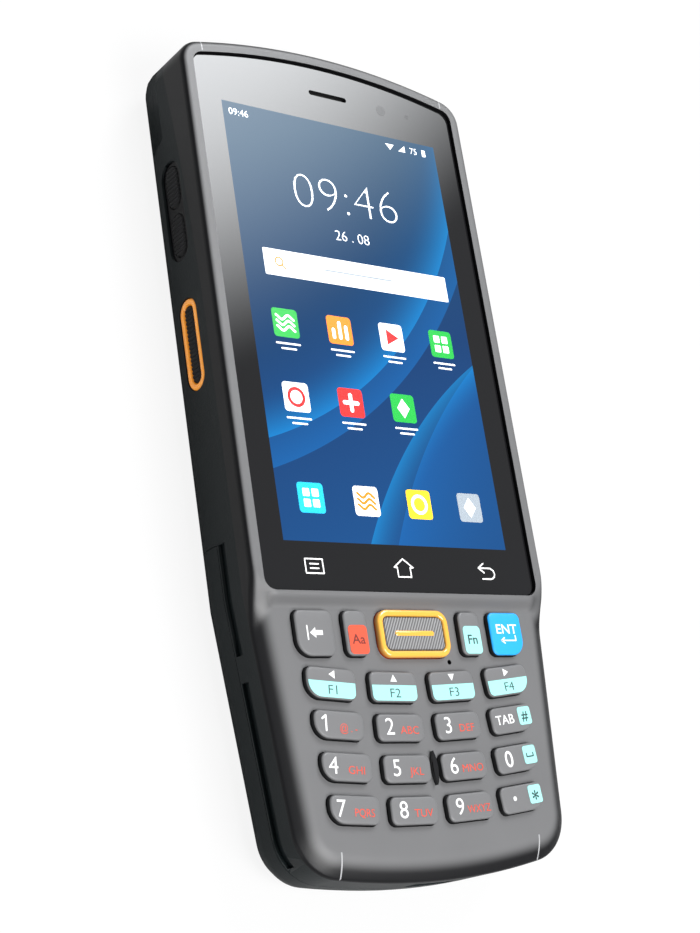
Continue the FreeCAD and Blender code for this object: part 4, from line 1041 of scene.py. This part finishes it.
# Cover glass with the lit display behind it. Hardened glass with ground edges, printed black on its back
# outside the lit area and taped into the surround; the picture is a blue sweep with arcs of light.
GLASS_FOOT = 16.4
GLASS_TOP = 17.5
BEVEL = 0.15
GLASS_MIDDLE = 24.1
GLASS_HALF = (31.4, 53.8)
EARPIECE_SLOT = (9.2, 1.05)
EARPIECE_ALONG = 72.0
glass_ring = glass_outline(0.0)
glass_centre = np.array([0.0, GLASS_MIDDLE])
glass = shell("cover_glass_sheet",
              [raised(glass_centre + (glass_ring - glass_centre) * (1 - inset / np.array(GLASS_HALF)), height)
               for inset, height in ((0.0, GLASS_FOOT), (0.0, GLASS_TOP - BEVEL), (BEVEL, GLASS_TOP))], 30)
cut_with(glass, prism("slot", rounded_rectangle(*EARPIECE_SLOT, [0.5] * 4, (0, EARPIECE_ALONG)), 15.0, 19.0))
smooth(glass, 30)
glass_finish = bpy.data.materials.new("glass_and_picture")
glass_finish.use_nodes = True
tree = glass_finish.node_tree
shader = tree.nodes["Principled BSDF"]
shader.inputs["Base Color"].default_value = (0.010, 0.010, 0.011, 1)
shader.inputs["Roughness"].default_value = 0.06
shader.inputs["Specular IOR Level"].default_value = 0.1
shader.inputs["Coat Roughness"].default_value = 0.03
shader.inputs["Emission Strength"].default_value = 1.0
DISPLAY_HALF = (25.92, 43.2)
DISPLAY_MIDDLE = 22.5
axes = object_axes(tree)
across = math_node(tree, "ABSOLUTE", axes["X"])
up = math_node(tree, "ABSOLUTE", math_node(tree, "SUBTRACT", axes["Y"], DISPLAY_MIDDLE * MM))
inside = product(tree, math_node(tree, "LESS_THAN", across, DISPLAY_HALF[0] * MM),
                 math_node(tree, "LESS_THAN", up, DISPLAY_HALF[1] * MM))
# The printed border mirrors like bare glass; over the lit area a coating takes most of that away
tree.links.new(math_node(tree, "SUBTRACT", 1.0, product(tree, inside, 0.8)), shader.inputs["Coat Weight"])
# Down the picture, and a little slanted: slate blue at the top, deep blue in the middle, clear blue below
fall = math_node(tree, "DIVIDE", math_node(tree, "SUBTRACT", (DISPLAY_MIDDLE + DISPLAY_HALF[1]) * MM,
                                           axes["Y"]), 2 * DISPLAY_HALF[1] * MM)
ramp = tree.nodes.new("ShaderNodeValToRGB")
sweep = ramp.color_ramp.elements
sweep[0].position = 0.0
sweep[0].color = (0.022, 0.105, 0.20, 1)
sweep[1].position = 1.0
sweep[1].color = (0.0, 0.085, 0.30, 1)
for position, tone in ((0.35, (0.004, 0.062, 0.18, 1)), (0.6, (0.0, 0.052, 0.20, 1))):
    sweep.new(position).color = tone
tree.links.new(math_node(tree, "ADD", fall, product(tree, axes["X"], 4.0)), ramp.inputs["Fac"])
picture = ramp.outputs["Color"]
# Arcs of light: rings about far centres, each brightest at its edge and fading inwards as the square of
# 1 - (radius - distance) / fade
for centre_x, centre_y, radius, fade, tone in ((-52.0, 78.0, 84.0, 9.0, (0.0, 0.27, 0.62)),
                                               (-58.0, 84.0, 97.0, 24.0, (0.0, 0.13, 0.40)),
                                               (80.0, -62.0, 96.0, 7.0, (0.0, 0.28, 0.62)),
                                               (96.0, -60.0, 104.0, 26.0, (0.0, 0.09, 0.30))):
    dx = math_node(tree, "SUBTRACT", axes["X"], centre_x * MM)
    dy = math_node(tree, "SUBTRACT", axes["Y"], centre_y * MM)
    square = math_node(tree, "ADD", product(tree, dx, dx), product(tree, dy, dy))
    distance = math_node(tree, "SQRT", square)
    within = math_node(tree, "LESS_THAN", distance, radius * MM)
    depth_share = math_node(tree, "DIVIDE", math_node(tree, "SUBTRACT", radius * MM, distance), fade * MM)
    strength = math_node(tree, "MAXIMUM", math_node(tree, "SUBTRACT", 1.0, depth_share), 0.0)
    picture = blend(tree, product(tree, strength, strength, within, 0.55), picture, tone, "ADD")
tree.links.new(blend(tree, inside, (0.0, 0.0, 0.0), picture), shader.inputs["Emission Color"])
ride(paint(glass, glass_finish), "root", ["cover_glass"])

# What stands on the screen and the glass: touch marks under the lit area and dark windows for the front
# camera and sensor printed on the glass, and the lit status row, clock, bar and tiles of the picture.
ON_GLASS = GLASS_TOP + INK
ON_TILE = ON_GLASS + 0.02
SCREEN_INKS = {"white": (0.9, 0.93, 0.97), "orange": (0.95, 0.25, 0.02), "green": (0.02, 0.42, 0.06),
               "red": (0.75, 0.03, 0.03), "cyan": (0.02, 0.50, 0.75), "yellow": (0.95, 0.62, 0.03),
               "grey": (0.35, 0.40, 0.45)}
GLOW = {"white": 0.55, "grey": 0.2}
lit = {name: printed("screen_" + name, tone, glow=GLOW.get(name, 0.35), roughness=0.2)
       for name, tone in SCREEN_INKS.items()}
icon_white = printed("icon_white", (0.9, 0.9, 0.9), glow=0.35, roughness=0.2)
dark_window = printed("dark_window", (0.03, 0.03, 0.032), roughness=0.1)
TOUCH_ROW = -25.2
SENSOR_ROW = 71.6
STATUS_ROW = 63.7
BAR_ROW = 33.2
strokes("menu_mark", [[(-1.9, 1.3), (1.9, 1.3), (1.9, -1.3), (-1.9, -1.3), (-1.9, 1.3)],
                      [(-0.9, 0.4), (0.9, 0.4)], [(-0.9, -0.4), (0.9, -0.4)]],
        0.26, ON_GLASS, icon_white, "root", (-20.1, TOUCH_ROW))
strokes("home_mark", [[(-1.5, -1.5), (-1.5, 0.3), (-2.2, 0.3), (0, 1.9), (2.2, 0.3), (1.5, 0.3),
                       (1.5, -1.5), (-1.5, -1.5)]], 0.26, ON_GLASS, icon_white, "root", (0, TOUCH_ROW))
strokes("back_mark", [[(-0.6, 1.6), (-1.9, 0.7), (-0.6, -0.2)],
                      [(-1.9, 0.7), (1.0, 0.7), (1.75, 0.25), (1.95, -0.4), (1.7, -1.0), (1.0, -1.4),
                       (-1.2, -1.4)]], 0.28, ON_GLASS, icon_white, "root", (20.0, TOUCH_ROW))
for place_x, radius in ((13.3, 1.15), (20.1, 0.5)):
    patch("window_%d" % place_x, circle((place_x, SENSOR_ROW), radius, 32), GLASS_TOP, dark_window, "root")

# The picture's status row, its clock and day, and a bar with a magnifier
lettering("small_clock", "09:46", 1.4, (-22.4, STATUS_ROW), ON_GLASS, 0, lit["white"], "root", bold=0.0)
lettering("charge", "75", 1.35, (20.2, STATUS_ROW), ON_GLASS, 0, lit["white"], "root", bold=0.0)
patch("charge_mark", rounded_rectangle(0.95, 1.5, [0.15] * 4, (22.9, STATUS_ROW)), ON_GLASS, lit["white"],
      "root")
patch("signal_mark", [(16.2, 63.0), (18.0, 63.0), (18.0, 64.5)], ON_GLASS, lit["white"], "root")
patch("wave_mark", [(14.1, 62.9), (15.2, 64.2), (13.0, 64.2)], ON_GLASS, lit["white"], "root")
lettering("clock", "09:46", 7.6, (0.5, 49.6), ON_GLASS, 0, lit["white"], "root", bold=-0.03, wide=1.08)
lettering("day", "26 . 08", 2.1, (0.5, 41.2), ON_GLASS, 0, lit["white"], "root", bold=-0.01)
patch("info_bar", rounded_rectangle(44.0, 5.4, [0.3] * 4, (0.6, BAR_ROW)), ON_GLASS, lit["white"], "root")
strokes("bar_rule", [[(-8.0, 0), (8.0, 0)]], 0.35, ON_TILE, lit["grey"], "root", (0.6, BAR_ROW))
strokes("bar_sign", [arc((0, 0.25), 0.85, 0, 2 * math.pi, 21), [(0.6, -0.35), (1.35, -1.1)]], 0.3, ON_TILE,
        lit["orange"], "root", (-18.0, BAR_ROW))

# The tiles: motifs of lines with their width, and motifs that are one flat shape
TILE = 5.7
COLUMNS = (-18.6, -6.2, 6.2, 18.6)
LINE_MOTIFS = {
    "ring": (0.62, [arc((0, 0), 1.65, 0, 2 * math.pi, 33)]),
    "bars": (0.8, [[(-1.5, -1.5), (-1.5, 0)], [(0, -1.5), (0, 1.5)], [(1.5, -1.5), (1.5, 0.8)]]),
    "cross": (0.85, [[(-1.5, 0), (1.5, 0)], [(0, -1.5), (0, 1.5)]]),
    "waves": (0.5, [[(x, y + 0.45 * math.sin(2.2 * x)) for x in np.linspace(-1.9, 1.9, 15)]
                    for y in (-1.1, 0.0, 1.1)])}
FLAT_MOTIFS = {"wedge": ((-1.2, -1.6), (1.7, 0), (-1.2, 1.6)),
               "diamond": ((0, -2.0), (1.5, 0), (0, 2.0), (-1.5, 0))}


def tile(name, centre, ground, motif, ink, label):
    """An app tile: a rounded square with one plain motif on it, and two short rules as its label."""
    x, y = centre
    patch(name, rounded_rectangle(TILE, TILE, [0.7] * 4, centre), ON_GLASS, ground, "root")
    if label:
        strokes(name + "_label", [[(x - label, y - 4.1), (x + label, y - 4.1)],
                                  [(x - 0.6 * label, y - 5.1), (x + 0.6 * label, y - 5.1)]],
                0.36, ON_GLASS, lit["white"], "root")
    if motif in LINE_MOTIFS:
        width, lines = LINE_MOTIFS[motif]
        strokes(name + "_motif", lines, width, ON_TILE, ink, "root", centre)
    elif motif in FLAT_MOTIFS:
        patch(name + "_motif", np.array(FLAT_MOTIFS[motif]) + centre, ON_TILE, ink, "root")
    else:
        blocks = [prism("block", rounded_rectangle(1.5, 1.5, [0.2] * 4, (x + dx, y + dy)), ON_TILE - INK,
                        ON_TILE + INK) for dx in (-1.0, 1.0) for dy in (-1.0, 1.0)]
        ride(paint(joined(name + "_motif", blocks), ink), "root")


TILE_LABEL = 2.6
for kind, letters, along, label, tiles in (
        ("tile_", "abcd", 21.0, TILE_LABEL, (("green", "waves", "white"), ("orange", "bars", "white"),
                                             ("white", "wedge", "red"), ("green", "blocks", "white"))),
        ("tile_", "efg", 6.5, TILE_LABEL, (("white", "ring", "red"), ("red", "cross", "white"),
                                           ("green", "diamond", "white"))),
        ("dock_", "abcd", -12.6, 0, (("cyan", "blocks", "white"), ("white", "waves", "orange"),
                                     ("yellow", "ring", "white"), ("grey", "diamond", "white")))):
    for letter, side, (ground, motif, ink) in zip(letters, COLUMNS, tiles):
        tile(kind + letter, (side, along), lit[ground], motif, lit[ink], label)

# Behind the glass: the adhesive foam frame that holds it, the display module with its metal back, and
# the small black earpiece, front camera and light sensor at its top end. They keep their own solids.
module_black = moulded("module_black", (0.02, 0.02, 0.022), roughness=0.5)
paint(nodes["glass_tape"], moulded("tape_foam", (0.02, 0.02, 0.02), roughness=0.8, depth=0.4))
paint(nodes["display_panel"], moulded("display_back", (0.25, 0.25, 0.26), roughness=0.3, metallic=0.8,
                                      grain=900))
for node_name in ("earpiece", "front_camera", "light_sensor"):
    paint(nodes[node_name], module_black)

# Middle frame, boards and shields. A cast light-alloy frame stiffens the case and carries the green main
# board on its pads; tinned steel shields and a card socket sit on that board, and two small boards stand
# behind the side keys.
tin_plate = moulded("tin_plate", (0.55, 0.55, 0.55), roughness=0.32, metallic=1.0, grain=1200)
paint(nodes["middle_frame"], moulded("cast_frame", (0.50, 0.50, 0.52), roughness=0.45, metallic=1.0,
                                     depth=0.3))
for node_name in ("main_board", "left_side_board", "right_side_board"):
    paint(nodes[node_name], board_green)
for node_name in ("board_shields", "card_socket"):
    paint(nodes[node_name], tin_plate)

# Modules in the rear half: the scan engine behind its dark red window in the top end, the rear camera
# and its lamp's light guide, the loudspeaker, the vibration motor in its tinned can and the charging port.
for node_name in ("scan_engine", "rear_camera", "loudspeaker"):
    paint(nodes[node_name], module_black)
for node_name in ("vibration_motor", "charging_port"):
    paint(nodes[node_name], tin_plate)
paint(nodes["scan_window"], moulded("red_filter", (0.03, 0.002, 0.003), roughness=0.08, depth=0.0))
paint(nodes["camera_lamp"], moulded("lamp_guide", (0.80, 0.74, 0.55), roughness=0.3, coat=0.5))

# Rear housing. The lower half of the case, moulded in near-black plastic with a fine matt texture and
# screwed to the front half. It is the real solid with its tessellation merged, so that its rounded back
# shades as one curve, with a shallow pocket in both sides at the top end.
rear_texture = moulded("rear_texture", (0.010, 0.015, 0.0165), (0.007, 0.011, 0.012), roughness=0.42,
                       unevenness=0.12, grain=2600, depth=0.5, shine=0.22)
BACK_ROUND = 6.0
HALF_WIDTH = BODY_WIDTH / 2
POCKET_DEPTH = 1.1
POSTS_FROM = 66.0
POSTS_WITHIN = 29.0
POSTS_BELOW = 1.5


def side_pocket(mirror):
    """A tool that reaches in from one side: its slanting lower end runs from the back to a line at 8.3 mm."""
    profile = ((56.5, -1.0), (60.5, 8.3), (84.0, 8.3), (84.0, -1.0))
    rings = [np.array([(mirror * across, y, z) for y, z in profile])
             for across in (HALF_WIDTH - POCKET_DEPTH, HALF_WIDTH + 6.0)]
    return shell("pocket", rings)


rear = smooth_copy("rear_housing", "rear_housing_shell")
# The two screw posts at the top run out into the rounded back edge, and are dressed level with it:
# z = r - sqrt(r^2 - (r - depth)^2), with depth the distance in from the top bow
points = points_of(rear) / MM
depth = TOP_BOW - np.hypot(points[:, 0], points[:, 1] + TOP_BOW - BODY_LENGTH / 2)
short_of = np.clip(BACK_ROUND - depth, 0, BACK_ROUND)
level = BACK_ROUND - np.sqrt(np.clip(BACK_ROUND ** 2 - short_of ** 2, 0, None))
at_posts = (points[:, 1] > POSTS_FROM) & (np.abs(points[:, 0]) < POSTS_WITHIN) & (points[:, 2] < POSTS_BELOW)
points[:, 2] = np.where(at_posts, np.maximum(points[:, 2], level), points[:, 2])
moved_to(rear, points)
for mirror in (-1, 1):
    cut_with(rear, side_pocket(mirror))
shade_evenly(rear, 40)
ride(paint(rear, rear_texture), "root", ["rear_housing"])

# Camera cover. A hard-coated disc let into the back with a bright turned ring round it, and the small
# coated lens showing through; the disc keeps its own solid.
LENS_PLACE = (-15.0, 47.0)
paint(nodes["camera_lens"], moulded("lens_glass", (0.006, 0.006, 0.01), roughness=0.05, coat=1.0, depth=0.0))
ring_profile = ((3.85, 0.26), (3.85, 0.14), (3.95, 0.06), (4.45, 0.06), (4.55, 0.14), (4.55, 0.26))
lens_ring = hollow("lens_ring", [raised(circle(LENS_PLACE, radius, 48), height)
                                 for radius, height in ring_profile], 50)
ring_metal = moulded("ring_metal", (0.35, 0.35, 0.36), roughness=0.25, metallic=1.0, depth=0.02)
ride(paint(lens_ring, ring_metal), "root")
lens_eye = prism("lens_eye", circle(LENS_PLACE, 1.7, 32), 0.19, 0.3)
lens_coating = moulded("lens_coating", (0.03, 0.015, 0.06), roughness=0.05, coat=1.0, depth=0.0)
ride(paint(lens_eye, lens_coating), "root")

# Side keys. Black rubber caps with cross ribs over the two side boards: a scan key on both sides, the
# two volume keys in one recess on the left lined with a glossy sheet of painted shade, and the power
# key on the right.
rubber = moulded("ribbed_rubber", (0.008, 0.008, 0.009), (0.012, 0.012, 0.013), roughness=0.5, depth=0.3,
                 shine=0.3)
SIDE_HEIGHT = 9.2
VOLUME_ALONG = 45.0
VOLUME_APART = 4.9
SCAN_ALONG = 18.4


def against_side(mirror, along, outset):
    """Carries a flat face onto the left (-1) or right (1) side: its X runs along the terminal, its Y up."""
    def place(points):
        """Heights become distances out of the side, x places along it, y heights over the back."""
        return np.column_stack([mirror * (HALF_WIDTH + outset + points[:, 2]), along + points[:, 0],
                                SIDE_HEIGHT + points[:, 1]])
    return place


for node_name, mirror, along, length, height, outset in (
        ("volume_up_button", -1, VOLUME_ALONG + VOLUME_APART, 8.4, 4.0, -0.3),
        ("volume_down_button", -1, VOLUME_ALONG - VOLUME_APART, 8.4, 4.0, -0.3),
        ("left_scan_button", -1, SCAN_ALONG, 14.96, 2.86, -0.26),
        ("right_scan_button", 1, SCAN_ALONG, 14.96, 2.86, -0.26), ("power_button", 1, 45.0, 9.0, 4.0, -0.3)):
    ribs = ribbed(length, height, height / 2 - 0.05, 0.8, 0.22, 0.0, 0.1)
    key = height_solid(node_name + "_ribs", ribs, -1.4, against_side(mirror, along, outset))
    ride(paint(key, rubber), node_name, [node_name])
# A dark gloss sheet of painted shade laid in the bottom of the recess round the volume keys, with room
# for both
recess_shade = prism("volume_recess_shade", rounded_rectangle(20.1, 6.1, [3.0] * 4, steps=13), 0.0, 0.07)
rooms = [prism("key_room", rounded_rectangle(8.64, 4.24, [2.1] * 4, (along, 0)), -1.0, 1.0)
         for along in (-VOLUME_APART, VOLUME_APART)]
cut_with(recess_shade, joined("key_rooms", rooms))
moved_to(recess_shade, against_side(-1, VOLUME_ALONG, -0.49)(points_of(recess_shade) / MM))
smooth(facing_out(recess_shade), 30)
ride(paint(recess_shade, moulded("recess_shade_gloss", (0.004, 0.004, 0.005), roughness=0.25, depth=0.02, shine=0.2)), "root")

# Rings of the side scan keys. Clear orange plastic, let into the housing round each key, given a
# steady painted glow in its own orange that stands in for the room's light showing through it.
side_orange_painted_glow = moulded("side_orange_painted_glow", (1.0, 0.46, 0.05), (1.0, 0.34, 0.02), roughness=0.18, coat=1.0,
                      depth=0.0)
# Painted glow: the rings give off orange light, though they are no lamp.
shader = side_orange_painted_glow.node_tree.nodes["Principled BSDF"]
shader.inputs["Emission Color"].default_value = (1.0, 0.30, 0.02, 1)
shader.inputs["Emission Strength"].default_value = 0.35
ring_outer = rounded_rectangle(17.6, 5.5, [2.7] * 4, steps=13)
ring_inner = rounded_rectangle(15.2, 3.1, [1.5] * 4, steps=13)
for node_name, mirror in (("left_scan_ring", -1), ("right_scan_ring", 1)):
    ring = frame_ring(node_name + "_clear", ring_outer, ring_inner, -1.2, 0.0)
    moved_to(ring, against_side(mirror, SCAN_ALONG, 0.0)(points_of(ring) / MM))
    ride(paint(facing_out(ring), side_orange_painted_glow), "root", [node_name])

# Housing screws. Six alike, of zinc-plated steel, driven from the back through the rear housing and the
# middle frame into the front housing.
paint(nodes["housing_screws"], moulded("zinc_steel", (0.42, 0.42, 0.43), roughness=0.35, metallic=1.0,
                                       grain=900))

# Battery. A pack in black shrink wrap that drops into its bay in the rear housing, against the sprung
# gilt contacts in their black block at the bay's end.
paint(nodes["battery_pack"], moulded("battery_wrap", (0.03, 0.03, 0.032), roughness=0.35, depth=0.05))
paint(nodes["battery_contacts"], moulded("contact_plastic", (0.02, 0.02, 0.02), roughness=0.5))

# Battery door. Moulded like the rear housing and slid off towards the lower end, with five fine grip
# grooves for the thumb and an arrow that shows the way.
GRIPS_START = -25.0
GRIP_PITCH = 2.0
door = smooth_copy("battery_door", "battery_door_shell")
marks = [prism("grip", rounded_rectangle(16.0, 0.9, [0.4] * 4, (0, GRIPS_START - GRIP_PITCH * index)),
               -1.0, 0.35) for index in range(5)]
marks.append(prism("arrow", [(-2.2, -36.6), (0, -39.4), (2.2, -36.6)], -1.0, 0.3))
cut_with(door, joined("door_marks", marks))
shade_evenly(door, 40)
ride(paint(door, rear_texture), "battery_door", ["battery_door"])

# Door latch. A rubber-coated slide in a slot of the back, which keeps its own solid. Its keeper plate
# moves with it inside the wall and closes the slot.
paint(nodes["door_latch"], rubber)
KEEPER_ALONG = -10.5
keeper = prism("latch_keeper", rounded_rectangle(18.5, 5.6, [0.5] * 4, (0.0, KEEPER_ALONG)), 2.5, 2.8)
ride(paint(keeper, rubber), "door_latch")
